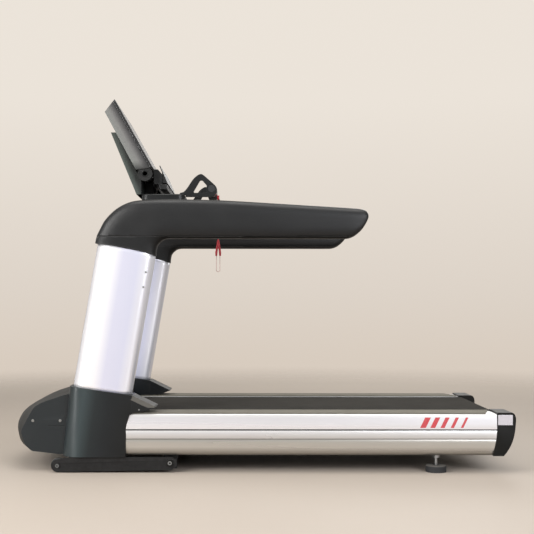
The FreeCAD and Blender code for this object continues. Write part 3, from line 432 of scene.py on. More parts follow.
# One finish: a base that drifts to a second colour, fine grain in relief, worn edges and a film of dust
def makeFinish(name, values):
    s = {**usualFinish, **values}
    material = bpy.data.materials.new(name)
    material.use_nodes = True
    tree = material.node_tree
    shader = tree.nodes["Principled BSDF"]
    grain = placeGroup(tree, grainGroup, Grain_Scale=s["grain"], Mottle_Scale=s["mottle"],
                       Stretch=s["stretch"])
    wear = placeGroup(tree, wearGroup, Amount=s["wear"])
    dust = placeGroup(tree, dustGroup, Amount=s["dust"])
    # A colour graded across the piece by position; for the rails, uprights, boots and display support its
    # stops are painted light and shade
    if "graded" in s:
        ramp = addGrade(tree, **s["graded"])
        darker = mixColour(tree, 1.0, (ramp, 0), s["shade"])
        darker.blend_type = "MULTIPLY"
        plain, second = (ramp, 0), (darker, 2)
    else:
        plain, second = paint(s["base"]), paint(s["second"])
    base = mixColour(tree, (grain, "Mottle"), plain, second)
    if "rings" in s:
        base = mixColour(tree, 1.0, (base, 2), (addRings(tree, *s["rings"]), 0))
        base.blend_type = "MULTIPLY"
    # Painted shade: the colour darkens to the fade tone along a direction
    if "fade" in s:
        fade = addGrade(tree, *s["fade"], ((0.0, "000000"), (1.0, "ffffff")))
        base = mixColour(tree, (fade, 0), (base, 2), paint(s["fadeShadeTone"]))
    worn = mixColour(tree, (wear, "Mask"), (base, 2), paint(s["wornTo"]))
    dusty = mixColour(tree, (dust, "Mask"), (worn, 2), paint(s["dustTone"]))
    tree.links.new(dusty.outputs[2], shader.inputs["Base Color"])
    low, high = s["rough"] - s["roughSpread"] / 2, s["rough"] + s["roughSpread"] / 2
    rough = remap(tree, (grain, "Mottle"), 0.3, 0.7, low, high)
    addDust = mathNode(tree, "ADD", (rough, 0), (dust, "Mask"), True)
    tree.links.new(addDust.outputs[0], shader.inputs["Roughness"])
    for socket, key in (("Metallic", "metal"), ("Coat Weight", "coat"), ("Coat Roughness", "coatRough"),
                        ("Specular IOR Level", "specular")):
        shader.inputs[socket].default_value = s[key]
    bump = addNode(tree, "ShaderNodeBump", None, Strength=s["relief"], Distance=s["depth"],
                   Height=(grain, "Grain"))
    tree.links.new(bump.outputs[0], shader.inputs["Normal"])
    return material, bump, dusty


finishSet = {
    "frameSteel": {
        "base": "0b0b0c", "second": "101011", "rough": 0.45, "coat": 0.05, "grain": 500.0,
        "relief": 0.2, "specular": 0.2, "dust": 0.03},
    "zincSteel": {
        "base": "a9abab", "second": "8f9294", "rough": 0.32, "metal": 1.0, "wear": 0.1, "grain": 700.0},
    "padRubber": {"base": "17181a", "second": "232426", "rough": 0.78, "relief": 0.5, "dust": 0.35},
    "deckBoard": {
        "base": "2a2320", "second": "1a1614", "rough": 0.5, "stretch": (0.15, 1.0, 1.0), "grain": 220.0},
    # Rail silver with painted reflection and shade graded up the rail: a painted highlight under the top
    # edge, a painted shade line at the crease and a beige painted floor reflection on the lower band,
    # darker towards the bottom
    "railSilverPaintedReflection": {
        "rough": 0.28, "metal": 0.6, "mottle": 3.0, "stretch": (0.02, 1.0, 1.0), "grain": 1500.0,
        "relief": 0.05, "wornTo": "f2f2f2", "roughSpread": 0.08, "dust": 0.02,
        "graded": {
            "along": (0.0, 0.0, 1.0), "start": 0.07, "end": 0.252,
            "stops": (
                (0.0, "66635b"), (0.07, "98938a"), (0.22, "c2beb6"), (0.38, "b2afa8"),
                (0.405, "85837e"), (0.43, "c6c4c2"), (0.53, "dcdbdb"), (0.6, "f2f2f2"),
                (0.66, "eeeef2"), (0.9, "e6e6ea"), (0.97, "f6f6f6"), (1.0, "bdbcb8"))}},
    # Upright silver with painted light graded across the chord: a near-white painted highlight on the
    # front third, a lavender-blue painted shade through the middle, lightened again at the rear so the far
    # upright's inner face reads bright
    "uprightSilverPaintedLight": {
        "rough": 0.3, "metal": 0.55, "mottle": 2.5, "grain": 1800.0, "relief": 0.04, "wornTo": "ffffff",
        "roughSpread": 0.05, "dust": 0.0,
        "graded": {
            "along": (0.98686, 0.0, -0.1616), "start": -0.8273, "end": -0.5853,
            "stops": (
                (0.0, "e8e8ec"), (0.08, "fbfbfd"), (0.32, "f6f6fa"), (0.48, "dedff0"), (0.74, "dcdef0"),
                (0.88, "e9eaf2"), (1.0, "e2e3ea"))}},
    "stripRubber": {
        "base": "67655c", "second": "57554d", "rough": 0.85, "relief": 0.6, "grain": 650.0,
        "wornTo": "88847a", "specular": 0.15, "dust": 0.2},
    "capPlastic": {
        "base": "080807", "second": "0d0d0c", "rough": 0.38, "relief": 0.12, "wornTo": "2c2c2a",
        "specular": 0.2, "dust": 0.02},
    "insertSilver": {"base": "d6d4dc", "second": "c4c3cb", "rough": 0.24, "metal": 0.5, "relief": 0.05},
    "hoodGrey": {
        "base": "2b2b2a", "second": "222221", "rough": 0.62, "relief": 0.15, "wornTo": "6a665e",
        "specular": 0.25, "dust": 0.05},
    "panelDark": {
        "base": "1c2124", "second": "171b1d", "rough": 0.38, "relief": 0.2, "wornTo": "44494a",
        "specular": 0.35, "dust": 0.03},
    # Boot dark with a painted highlight graded along it: a lighter vertical band on the front third,
    # falling to painted shade towards the rear
    "bootDarkPaintedHighlight": {
        "rough": 0.36, "relief": 0.15, "wornTo": "3c4142", "specular": 0.35, "dust": 0.02,
        "graded": {
            "along": (0.9893, 0.0, -0.1459), "start": -0.846, "end": -0.56,
            "stops": (
                (0.0, "15191b"), (0.09, "2a3234"), (0.24, "303a3c"), (0.42, "1a2022"), (0.62, "13171a"),
                (1.0, "0c0e0f"))}},
    "trimLight": {"base": "8f8c84", "second": "7a7770", "rough": 0.42, "relief": 0.08, "specular": 0.3},
    # A lighter tone for the strip on the wing's bevel: a painted highlight where the bevel catches light
    # from above
    "wingBevelPaintedHighlight": {
        "base": "4d4a46", "second": "42403c", "rough": 0.45, "relief": 0.08, "specular": 0.25,
        "dust": 0.02, "wornTo": "6a675f"},
    "armCharcoal": {
        "base": "141517", "second": "0f1011", "rough": 0.44, "relief": 0.3, "grain": 1100.0,
        "wornTo": "2c2e30", "specular": 0.35, "dust": 0.03},
    "trayCharcoal": {
        "rough": 0.5, "relief": 0.3, "grain": 1100.0, "specular": 0.25, "dust": 0.02,
        "graded": {
            "along": (1.0, 0.0, 0.0), "start": -0.48, "end": -0.4,
            "stops": ((0.0, "121314"), (1.0, "090909"))}},
    "consoleDark": {
        "base": "101213", "second": "0b0d0d", "rough": 0.4, "relief": 0.25, "grain": 1000.0,
        "specular": 0.3, "dust": 0.03},
    "displayGreyPaintedShade": {
        "rough": 0.5, "relief": 0.2, "grain": 1000.0, "dust": 0.03, "specular": 0.35,
        # Painted shade: the shell darkens to near black towards its bottom edge, above the neck
        "fade": ((0.0, 0.0, 1.0), 1.34, 1.3),
        "graded": {
            "along": (0.872, 0.0, 0.49), "start": 0.17, "end": 0.243,
            "stops": (
                (0.0, "6d706c"), (0.4, "676765"), (0.62, "454444"), (0.8, "1a1a1b"), (1.0, "0e0e0f"))}},
    "displayBlack": {"base": "101113", "second": "17181a", "rough": 0.18, "coat": 0.6, "relief": 0.03},
    "screenGlass": {
        "base": "090b0e", "second": "0e1115", "rough": 0.06, "coat": 1.0, "coatRough": 0.02,
        "relief": 0.0, "roughSpread": 0.03, "wear": 0.0, "dust": 0.05},
    # Support grey-green with painted shade graded towards the rear: it darkens to near black on the side
    # that faces the display slab
    "supportGreyPaintedShade": {
        "rough": 0.45, "relief": 0.2, "dust": 0.03, "specular": 0.35,
        "graded": {
            "along": (0.928, 0.0, 0.3726), "start": -0.056, "end": 0.032,
            "stops": (
                (0.0, "4a524d"), (0.2, "363d39"), (0.34, "151a18"), (1.0, "090b0a"))}},
    "chromePlate": {"base": "d4d6d8", "second": "c4c7ca", "rough": 0.12, "metal": 1.0, "relief": 0.02},
    "gripFoam": {
        "base": "1b1c1e", "second": "242527", "rough": 0.85, "relief": 0.9, "grain": 1400.0,
        "depth": 0.0006},
    "signalRed": {
        "base": "b5242c", "second": "9c1c24", "rough": 0.3, "coat": 0.3, "relief": 0.06,
        "wornTo": "d06060"},
    "startGreen": {"base": "2f9a4b", "second": "27823f", "rough": 0.32, "coat": 0.3, "relief": 0.06},
    "keyGrey": {"base": "8b8e92", "second": "7a7d81", "rough": 0.38, "relief": 0.15},
    "stripeRed": {"base": "c22f3a", "second": "ab2430", "rough": 0.28, "coat": 0.4, "relief": 0.03},
    "clipRed": {"base": "c03842", "second": "a02d36", "rough": 0.34, "relief": 0.1},
    "paleLoop": {"base": "d9b9b2", "second": "c9a59e", "rough": 0.42, "relief": 0.1},
    "motorPaint": {"base": "4a4d50", "second": "3d4043", "rough": 0.45, "relief": 0.4, "grain": 420.0},
    "pivotHead": {
        "base": "a9abab", "second": "8f9294", "rough": 0.35, "metal": 0.7, "relief": 0.1,
        "rings": ((-0.374, 0.042), 0.016, (
            (0.0, "050505"), (0.26, "070707"), (0.32, "ffffff"), (0.52, "c0c0c0"), (0.58, "141414"),
            (1.0, "0c0c0c")))},
    "wheelHead": {
        "base": "a9abab", "second": "8f9294", "rough": 0.35, "metal": 0.7, "relief": 0.1,
        "rings": ((-0.851, 0.03), 0.012, (
            (0.0, "202020"), (0.3, "303030"), (0.38, "f0f0f0"), (0.62, "a0a0a0"), (0.7, "1c1c1c"),
            (1.0, "101010")))},
    "castDark": {"base": "3a3b3d", "second": "2e2f31", "rough": 0.5, "metal": 0.8, "relief": 0.5},
    "heatSink": {
        "base": "a2a5a8", "second": "8c8f92", "rough": 0.4, "metal": 0.9, "stretch": (1.0, 0.1, 1.0)},
    "wheelNylon": {"base": "1a1b1c", "second": "262728", "rough": 0.5, "relief": 0.3, "wornTo": "6a6862"},
    "grooveBlack": {"base": "101011", "second": "18181a", "rough": 0.6},
    "studioFloor": {
        "base": "aea49a", "second": "a99f94", "rough": 0.55, "specular": 0.12, "relief": 0.0,
        "wear": 0.0, "dust": 0.0, "mottle": 0.6, "roughSpread": 0.08},
}

finishes = {name: makeFinish(name, values)[0] for name, values in finishSet.items()}
print("finishes made:", len(finishes))


yarnSet = {
    "finish": {"base": "b32731", "second": "8e1c25", "rough": 0.8, "relief": 0.6},
    "ridges": (90.0, 3.0, 1.0),
    "slant": 35,
}


# Twisted yarn: slanted ridges round the cord, on its own UV map
def makeCordFinish():
    s = yarnSet
    material, bump, _ = makeFinish("lanyardYarn", s["finish"])
    tree = material.node_tree
    where = addNode(tree, "ShaderNodeTexCoord")
    turn = addNode(tree, "ShaderNodeMapping", None, Vector=(where, "UV"), Scale=s["ridges"],
                   Rotation=(0, 0, math.radians(s["slant"])))
    ridges = addNode(tree, "ShaderNodeTexWave", None, Vector=(turn, 0), Scale=1.0)
    tree.links.new(ridges.outputs["Fac"], bump.inputs["Height"])
    return material


walkSet = {
    "finish": {"base": "171716", "second": "1e1e1c", "rough": 0.92, "relief": 0.55, "dust": 0.08,
               "wear": 0.0, "specular": 0.08},
    "weaveTurn": 45,
    "weavePerMetre": 320.0,
    "rubbedFrom": 0.08,
    "rubbedTo": 0.24,
    "rubbedShare": 0.35,
    "rubbedTone": "35322e",
}


# The walking surface: a fine diamond emboss, rubbed lighter down the middle where feet land
def makeBeltFinish():
    s = walkSet
    material, bump, dusty = makeFinish("walkingBelt", s["finish"])
    tree = material.node_tree
    where = addNode(tree, "ShaderNodeTexCoord")
    turn = addNode(tree, "ShaderNodeMapping", None, Vector=(where, "Object"),
                   Rotation=(0, 0, math.radians(s["weaveTurn"])), Scale=(s["weavePerMetre"],) * 3)
    weave = addNode(tree, "ShaderNodeTexVoronoi", {"distance": "CHEBYCHEV"}, Vector=(turn, 0), Scale=1.0,
                    Randomness=0.0)
    tree.links.new(weave.outputs["Distance"], bump.inputs["Height"])
    split = addNode(tree, "ShaderNodeSeparateXYZ", None, i0=(where, "Object"))
    side = mathNode(tree, "ABSOLUTE", (split, "Y"))
    middle = remap(tree, (side, 0), s["rubbedFrom"], s["rubbedTo"], s["rubbedShare"], 0.0, "SMOOTHSTEP")
    rubbed = mixColour(tree, (middle, 0), (dusty, 2), paint(s["rubbedTone"]))
    tree.links.new(rubbed.outputs[2], tree.nodes["Principled BSDF"].inputs["Base Color"])
    return material


finishes["lanyardYarn"] = makeCordFinish()
finishes["walkingBelt"] = makeBeltFinish()


makeCamera()
makeWorld()
makeLights()


lanyardSet = {
    "route": ((-0.183, 0.0, 1.2016), (-0.183, 0.0, 1.110), (-0.183, 0.0, 1.017)),
    "radius": 0.0016,
    "length": 0.1846,
}


# The cord's own smooth line, through the space between the key and the clip
def makeLanyard():
    s = lanyardSet
    data = bpy.data.curves.new("lanyard", "CURVE")
    data.dimensions = "3D"
    data.bevel_depth = 1.0
    data.bevel_resolution = 4
    data.use_fill_caps = True
    spline = data.splines.new("NURBS")
    spline.points.add(len(s["route"]) - 1)
    for point, place in zip(spline.points, s["route"]):
        point.co = (*place, 1.0)
        point.radius = s["radius"]
    spline.order_u = 3
    spline.use_endpoint_u = True
    spline.resolution_u = 24
    return newObject("lanyard", data)


lanyard = makeLanyard()
finishPiece(lanyard, "key_and_lanyard", "cord_red", finishes["lanyardYarn"], "lanyard_cord")
print("camera, lights and lanyard made")


uprightSet = {
    "foot": (-0.6655, 0.346),
    "lean": math.radians(9.7),
    "halfChord": 0.1255,
    "innerY": 0.335,
    "outerY": 0.445,
    "frontRound": 0.052,
    "rearRound": 0.034,
    "crown": 0.006,
    "wall": 0.004,
    "bottomAt": (-0.798, 0.3658),
    "bottomFall": 0.14,
    "top": ((-0.693, 0.9720), (-0.609, 0.960), (-0.540, 0.9485), (-0.480, 0.9325), (-0.437, 0.9175)),
    "rings": 40,
    "cornerSteps": 14,
    "ringStep": 0.006,
    "firstGuess": 0.62,
    "passes": 5,
}


# Rounded section carried up the leaning axis, cut by the boot's slanting top and the arm's curved foot
def uprightSkin():
    s = uprightSet
    halfY = (s["outerY"] - s["innerY"]) / 2
    midY = (s["outerY"] + s["innerY"]) / 2
    radii = (s["rearRound"],) * 2 + (s["frontRound"],) * 2
    ring = closeRing(roundRing(s["halfChord"], halfY - s["crown"], radii, s["cornerSteps"]), s["ringStep"])
    u = ring[:, 0]
    y = ring[:, 1] + midY + np.sign(ring[:, 1]) * s["crown"] * (1 - (u / s["halfChord"]) ** 2)
    c, n = math.cos(s["lean"]), math.sin(s["lean"])
    x0, z0 = s["foot"]
    bx, bz = s["bottomAt"]
    fall = s["bottomFall"]
    low = (bz - z0 - fall * (x0 - bx) - fall * u * c + u * n) / (c + fall * n)
    topX, topZ = np.array(s["top"]).T
    high = np.full_like(u, s["firstGuess"])
    for _ in range(s["passes"]):
        high = (np.interp(x0 + u * c + high * n, topX, topZ) - z0 + u * n) / c
    v = np.linspace(0, 1, s["rings"])[:, None]
    along = low + (high - low) * v
    x, z = x0 + u * c + along * n, z0 - u * n + along * c
    return loft(np.stack([x, np.broadcast_to(y, along.shape), z], -1), capped=False)


def makeUprights():
    piece = outward(meshObject("uprights_skin", *bothSides(*uprightSkin())))
    addWall(piece, uprightSet["wall"])
    smooth(piece, angle=50)
    finishPiece(piece, "chassis", "upright_silver", finishes["uprightSilverPaintedLight"], "uprights")


armSet = {
    # Crown x, crown z, under x, under z
    "outline": (
        (-0.697, 0.974, -0.436, 0.9195), (-0.691, 1.001, -0.4345, 0.940), (-0.677, 1.031, -0.431, 0.958),
        (-0.653, 1.074, -0.424, 0.971), (-0.609, 1.118, -0.411, 0.983), (-0.556, 1.147, -0.398, 0.990),
        (-0.500, 1.158, -0.378, 0.993), (-0.394, 1.162, -0.330, 0.993), (-0.169, 1.158, -0.150, 0.993),
        (0.082, 1.144, 0.080, 0.993), (0.280, 1.132, 0.260, 0.993), (0.385, 1.1255, 0.345, 0.993),
        (0.436, 1.121, 0.385, 0.995), (0.458, 1.114, 0.413, 1.007), (0.4685, 1.100, 0.441, 1.032),
        (0.4695, 1.086, 0.460, 1.062)),
    "foot": ((-0.697, 0.0), (-0.609, 0.004), (-0.540, 0.0085), (-0.480, 0.0045), (-0.436, 0.0)),
    "innerY": 0.341,
    "outerY": 0.4475,
    "tipWidth": 0.62,
    "tipFrom": 0.90,
    "footTo": 0.05,
    "leastHalf": 0.004,
    "squareness": 3.4,
    "stations": 130,
    "around": 72,
    "seamZ": 1.003,
    "seamGap": 0.0011,
    "trayInset": 0.0006,
    "seamFrom": -0.440,
    "wall": 0.004,
}


# Each ring is a soft-cornered oval between a crown point and the point under it; the width eases in
# at the tip
def armSkin(inset):
    s = armSet
    line = curveThrough(s["outline"], s["stations"])
    crown, under = line[:, :2], line[:, 2:]
    mid, half = (crown + under) / 2, (crown - under) / 2
    length = np.linalg.norm(half, axis=1, keepdims=True)
    half = half * (1 - inset / np.maximum(length, s["leastHalf"]))
    t = np.linspace(0, 1, len(line))
    ease = np.clip((t - s["tipFrom"]) / (1 - s["tipFrom"]), 0, 1)
    share = s["tipWidth"] + (1 - s["tipWidth"]) * np.sqrt(1 - ease ** 2)
    wide = ((s["outerY"] - s["innerY"]) / 2 - inset) * share
    turn = np.linspace(0, 2 * math.pi, s["around"], endpoint=False)
    power = 2 / s["squareness"]
    a = np.sign(np.cos(turn)) * np.abs(np.cos(turn)) ** power
    b = np.sign(np.sin(turn)) * np.abs(np.sin(turn)) ** power
    x = mid[:, :1] + half[:, :1] * a
    z = mid[:, 1:] + half[:, 1:] * a
    footX, rise = np.array(s["foot"]).T
    fade = np.clip(1 - t / s["footTo"], 0, 1)[:, None]
    z = z + fade * np.interp(x, footX, rise)
    y = (s["innerY"] + s["outerY"]) / 2 + wide[:, None] * b
    return loft(np.stack([x, y, z], -1))


# Keeps what lies above or below a height
def cutAt(piece, z, keepAbove):
    mesh = bmesh.new()
    mesh.from_mesh(piece.data)
    cutPlane(mesh, (0, 0, z), (0, 0, 1), clear_inner=keepAbove, clear_outer=not keepAbove)
    mesh.to_mesh(piece.data)
    mesh.free()


# Round the foot the two halves meet without a gap
def closeSeam(piece, edge):
    mesh = piece.data
    places = np.empty(len(mesh.vertices) * 3)
    mesh.vertices.foreach_get("co", places)
    places = places.reshape(-1, 3)
    onEdge = (np.abs(places[:, 2] - edge) < 1e-5) & (places[:, 0] < armSet["seamFrom"])
    places[onEdge, 2] = armSet["seamZ"]
    mesh.vertices.foreach_set("co", places.ravel())
    mesh.update()


def makeArms():
    s = armSet
    for name, node, inset, side, finish in (
            ("handrail_covers", "arm_covers", 0.0, 1, "armCharcoal"),
            ("handrail_trays", "arm_trays", s["trayInset"], -1, "trayCharcoal")):
        piece = outward(meshObject(name, *bothSides(*armSkin(inset))))
        edge = s["seamZ"] + side * s["seamGap"] / 2
        cutAt(piece, edge, side > 0)
        closeSeam(piece, edge)
        addWall(piece, s["wall"])
        smooth(piece, angle=40)
        finishPiece(piece, "chassis", "arm_charcoal", finishes[finish], node)


makeUprights()
makeArms()
print("uprights and handrails made")


bootSet = {
    "front": ((0.067, -0.8415), (0.110, -0.8370), (0.190, -0.8270), (0.285, -0.8150), (0.367, -0.8035)),
    "rear": ((0.067, -0.5600), (0.130, -0.5595), (0.160, -0.5585), (0.185, -0.5600), (0.208, -0.5560),
             (0.242, -0.5450), (0.262, -0.5360), (0.330, -0.5340)),
    "topAt": (-0.798, 0.365),
    "topFall": 0.14,
    "lowZ": 0.067,
    "innerY": 0.328,
    "outerY": 0.4499,
    "rounds": (0.004, 0.004, 0.050, 0.005),
    "footRound": 0.085,
    "shoulderDrop": 0.0215,
    "shoulderIn": 0.0066,
    "edgeRound": 0.004,
    "rings": 44,
    "cornerSteps": 11,
    "halfRing": 0.125,
    "passes": 3,
    "wingTop": ((-0.536, 0.3285), (-0.434, 0.2795)),
    "wingUnder": ((-0.545, 0.242), (-0.531, 0.254), (-0.509, 0.2585), (-0.477, 0.261), (-0.434, 0.2785)),
    "wingFromX": -0.541,
    "wingToX": -0.434,
    "wingRings": 28,
    "wingInset": 0.0004,
    "wingLeast": 0.0009,
    "shoulderMost": 1.7,
}


# Rings from the foot to the slanting top; the front and rear edges lean and curve with height
def bootBody():
    s = bootSet
    frontZ, frontX = np.array(s["front"]).T
    rearZ, rearX = np.array(s["rear"]).T
    halfY, midY = (s["outerY"] - s["innerY"]) / 2, (s["outerY"] + s["innerY"]) / 2
    sections = []
    for level in np.linspace(0, 1, s["rings"]):
        widened = s["rounds"][2] + (s["footRound"] - s["rounds"][2]) * (1 - level)
        rounds = (*s["rounds"][:2], widened, s["rounds"][3])
        unit = roundRing(s["halfRing"], halfY, rounds, s["cornerSteps"])
        z = np.full(len(unit), s["lowZ"] + level * (s["topAt"][1] - s["lowZ"]))
        for _ in range(s["passes"]):
            a, b = np.interp(z, frontZ, frontX), np.interp(z, rearZ, rearX)
            x = (a + b) / 2 + unit[:, 0] / s["halfRing"] * (b - a) / 2
            top = s["topAt"][1] - s["topFall"] * (x - s["topAt"][0])
            z = s["lowZ"] + level * (top - s["lowZ"])
        sections.append(np.stack([x, unit[:, 1] + midY, z], -1))
    return loft(np.array(sections))


# Rings from the boot back to the wing's tip, between its straight top edge and its curved underside,
# each with its outer upper corner cut off
def bootWing():
    s = bootSet
    topX, topZ = np.array(s["wingTop"]).T
    underX, underZ = np.array(s["wingUnder"]).T
    halfY, midY = (s["outerY"] - s["innerY"]) / 2 - s["wingInset"], (s["outerY"] + s["innerY"]) / 2
    sections = []
    for x in np.linspace(s["wingFromX"], s["wingToX"], s["wingRings"]):
        high = np.interp(x, topX, topZ)
        low = np.interp(x, underX, underZ)
        h = max((high - low) / 2, s["wingLeast"])
        drop = min(s["shoulderDrop"], s["shoulderMost"] * h)
        y, z = np.array([(halfY, -h), (halfY, h - drop), (halfY - s["shoulderIn"], h), (-halfY, h),
                         (-halfY, -h)]).T
        sections.append(np.stack([np.full(len(y), x), y + midY, z + (high + low) / 2], -1))
    return loft(np.array(sections))


def makeBoots():
    piece = outward(meshObject("upright_boots", *bothSides(*joinGrids([bootBody(), bootWing()]))))
    bevel = piece.modifiers.new("bevel", "BEVEL")
    bevel.width = bootSet["edgeRound"]
    bevel.segments = 3
    bevel.angle_limit = math.radians(50)
    smooth(piece, angle=40)
    finishPiece(piece, "chassis", "boot_dark", finishes["bootDarkPaintedHighlight"], "boots")


bevelHighlightSet = {
    "start": (-0.5335, 0.3285),
    "end": (-0.4335, 0.2800),
    "drop": 0.019,
    "lowY": 0.4503,
    "highY": 0.4440,
    "thick": 0.0005,
    "rows": 24,
    "headAt": 0.1,
    "tipFrom": 0.75,
    "tipNarrowing": 0.65,
}


# A thin lighter strip along the wing's upper edge, reaching down its bevel: a painted highlight where the
# bevel catches light from above; its width is rounded at the head and shrinks evenly towards the tip
def makeBevelHighlights():
    s = bevelHighlightSet
    t = np.linspace(0, 1, s["rows"])[:, None]
    start, end = np.array(s["start"]), np.array(s["end"])
    edge = start + (end - start) * t
    down = np.array([(end - start)[1], -(end - start)[0]]) / np.linalg.norm(end - start)
    rounded = np.sqrt(np.clip(1 - (t - s["headAt"]) ** 4, 0, 1))
    tip = 1 - s["tipNarrowing"] * np.clip((t - s["tipFrom"]) / (1 - s["tipFrom"]), 0, 1)
    high = np.concatenate([edge, np.full((s["rows"], 1), s["highY"])], 1)
    low = np.concatenate([edge + down * s["drop"] * rounded * tip, np.full((s["rows"], 1), s["lowY"])], 1)
    back = np.array([0, 0, -s["thick"]])
    corners = np.stack([high, low, low + back, high + back], 1)[:, :, [0, 2, 1]]
    piece = outward(meshObject("wing_bevel_highlight_strips", *bothSides(*loft(corners))))
    smooth(piece, angle=30)
    finishPiece(piece, "chassis", "trim_light", finishes["wingBevelPaintedHighlight"], "wing_trims")


hoodSet = {
    # The middle's outline, from the belt over the top to the low front
    "middle": ((-0.612, 0.262), (-0.622, 0.288), (-0.645, 0.310), (-0.690, 0.330), (-0.750, 0.3365),
               (-0.815, 0.333), (-0.877, 0.321), (-0.938, 0.305), (-0.971, 0.291), (-0.999, 0.2755),
               (-1.032, 0.257), (-1.064, 0.233), (-1.082, 0.205), (-1.0895, 0.175), (-1.0885, 0.145),
               (-1.081, 0.112), (-1.056, 0.084)),
    # The outline at the side panels
    "side": ((-0.612, 0.262), (-0.622, 0.286), (-0.645, 0.306), (-0.690, 0.325), (-0.740, 0.3315),
             (-0.7935, 0.3310), (-0.843, 0.3205), (-0.866, 0.3125), (-0.901, 0.3015), (-0.924, 0.2925),
             (-0.947, 0.2805), (-0.964, 0.2665), (-0.975, 0.2475), (-0.989, 0.2245), (-0.998, 0.2055),
             (-1.0095, 0.185), (-1.0155, 0.165), (-1.0075, 0.137), (-0.9955, 0.1115), (-0.9815, 0.0955),
             (-0.964, 0.0845)),
    "halfY": 0.384,
    "betweenBoots": 0.3265,
    "bow": 2.3,
    # The boots' front edge, which the wide part stops at
    "bootFront": (-0.7855, 0.363),
    "bootLean": (0.9893, -0.1459),
    "inlet": {"lowY": 0.120, "highY": 0.236, "lowZ": 0.096, "highZ": 0.152, "backX": -1.040},
    "wall": 0.0035,
    "columns": 97,
    "rows": 120,
}


# Each lengthwise line lies between the middle's outline and the side's, by a power of its share of the
# half width
def hoodSkin(halfY):
    s = hoodSet
    middle, side = curveThrough(s["middle"], s["rows"]), curveThrough(s["side"], s["rows"])
    y = np.linspace(-halfY, halfY, s["columns"])
    share = (np.abs(y) / s["halfY"])[None, :, None] ** s["bow"]
    line = middle[:, None] + (side - middle)[:, None] * share
    points = np.stack([line[..., 0], np.broadcast_to(y, line.shape[:2]), line[..., 1]], -1)
    return points.reshape(-1, 3), gridFaces(s["rows"], s["columns"], False).tolist()


# The opening over the power inlet: the faces in front of it go, and its edge is drawn back as a wall
def openInlet(mesh):
    s = hoodSet["inlet"]
    for y in (s["lowY"], s["highY"]):
        cutPlane(mesh, (0, y, 0), (0, 1, 0))
    for z in (s["lowZ"], s["highZ"]):
        cutPlane(mesh, (0, 0, z), (0, 0, 1))
    inside = []
    for face in mesh.faces:
        x, y, z = face.calc_center_median()
        if s["lowY"] < y < s["highY"] and s["lowZ"] < z < s["highZ"] and x < s["backX"]:
            inside.append(face)
    gone = set(inside)
    rim = [e for e in mesh.edges if gone.intersection(e.link_faces) and not gone.issuperset(e.link_faces)]
    bmesh.ops.delete(mesh, geom=inside, context="FACES")
    drawn = bmesh.ops.extrude_edge_only(mesh, edges=rim)["geom"]
    for vert in drawn:
        if isinstance(vert, bmesh.types.BMVert):
            vert.co.x = s["backX"]


# The wide part in front of the boots and the narrow part between them, as one shell
def makeHood():
    s = hoodSet
    merged = bmesh.new()
    for halfY, keepFront in ((s["halfY"], True), (s["betweenBoots"], False)):
        part = outward(meshObject("hood_part", *hoodSkin(halfY)))
        mesh = bmesh.new()
        mesh.from_mesh(part.data)
        cutPlane(mesh, (s["bootFront"][0], 0, s["bootFront"][1]), (s["bootLean"][0], 0, s["bootLean"][1]),
                 clear_outer=keepFront, clear_inner=not keepFront)
        mesh.to_mesh(part.data)
        mesh.free()
        merged.from_mesh(part.data)
        bpy.data.objects.remove(part)
    openInlet(merged)
    bmesh.ops.remove_doubles(merged, verts=merged.verts, dist=1e-5)
    bmesh.ops.recalc_face_normals(merged, faces=merged.faces)
    data = bpy.data.meshes.new("motor_cover")
    merged.to_mesh(data)
    merged.free()
    cover = newObject("motor_cover", data)
    addWall(cover, s["wall"])
    smooth(cover, angle=40)
    finishPiece(cover, "chassis", "hood_grey", finishes["hoodGrey"], "motor_hood")


makeBoots()
makeBevelHighlights()
makeHood()
print("boots and hood made")


beltSet = {
    "frontX": -0.750,
    "rearX": 1.010,
    "axisZ": 0.205,
    "radius": 0.045,
    "thick": 0.003,
    "halfY": 0.290,
    "bendSteps": 40,
    "runSteps": 60,
}


# Once round the loop: a half turn at each roller and a straight run between them
def beltLine(radius):
    s = beltSet
    bend = np.linspace(math.pi / 2, 3 * math.pi / 2, s["bendSteps"])
    run = np.linspace(s["frontX"], s["rearX"], s["runSteps"])[1:-1]
    front = np.stack([s["frontX"] + radius * np.cos(bend), s["axisZ"] + radius * np.sin(bend)], -1)
    rear = np.stack([s["rearX"] - radius * np.cos(bend), s["axisZ"] - radius * np.sin(bend)], -1)
    under = np.stack([run, np.full_like(run, s["axisZ"] - radius)], -1)
    over = np.stack([run[::-1], np.full_like(run, s["axisZ"] + radius)], -1)
    return np.concatenate([front, under, rear, over])


# The outer and the inner line, each at both edges, as one closed band
def makeBelt():
    s = beltSet
    outer, inner = beltLine(s["radius"]), beltLine(s["radius"] - s["thick"])
    corners = [(outer, -1), (outer, 1), (inner, 1), (inner, -1)]
    rings = np.stack([np.stack([line[:, 0], np.full(len(line), side * s["halfY"]), line[:, 1]], -1)
                      for line, side in corners], 1)
    rings = np.concatenate([rings, rings[:1]])
    piece = outward(meshObject("walking_belt", *loft(rings, capped=False)))
    smooth(piece, angle=40)
    finishPiece(piece, "chassis", "belt", finishes["walkingBelt"], "running_belt")


makeBelt()
print("belt made")


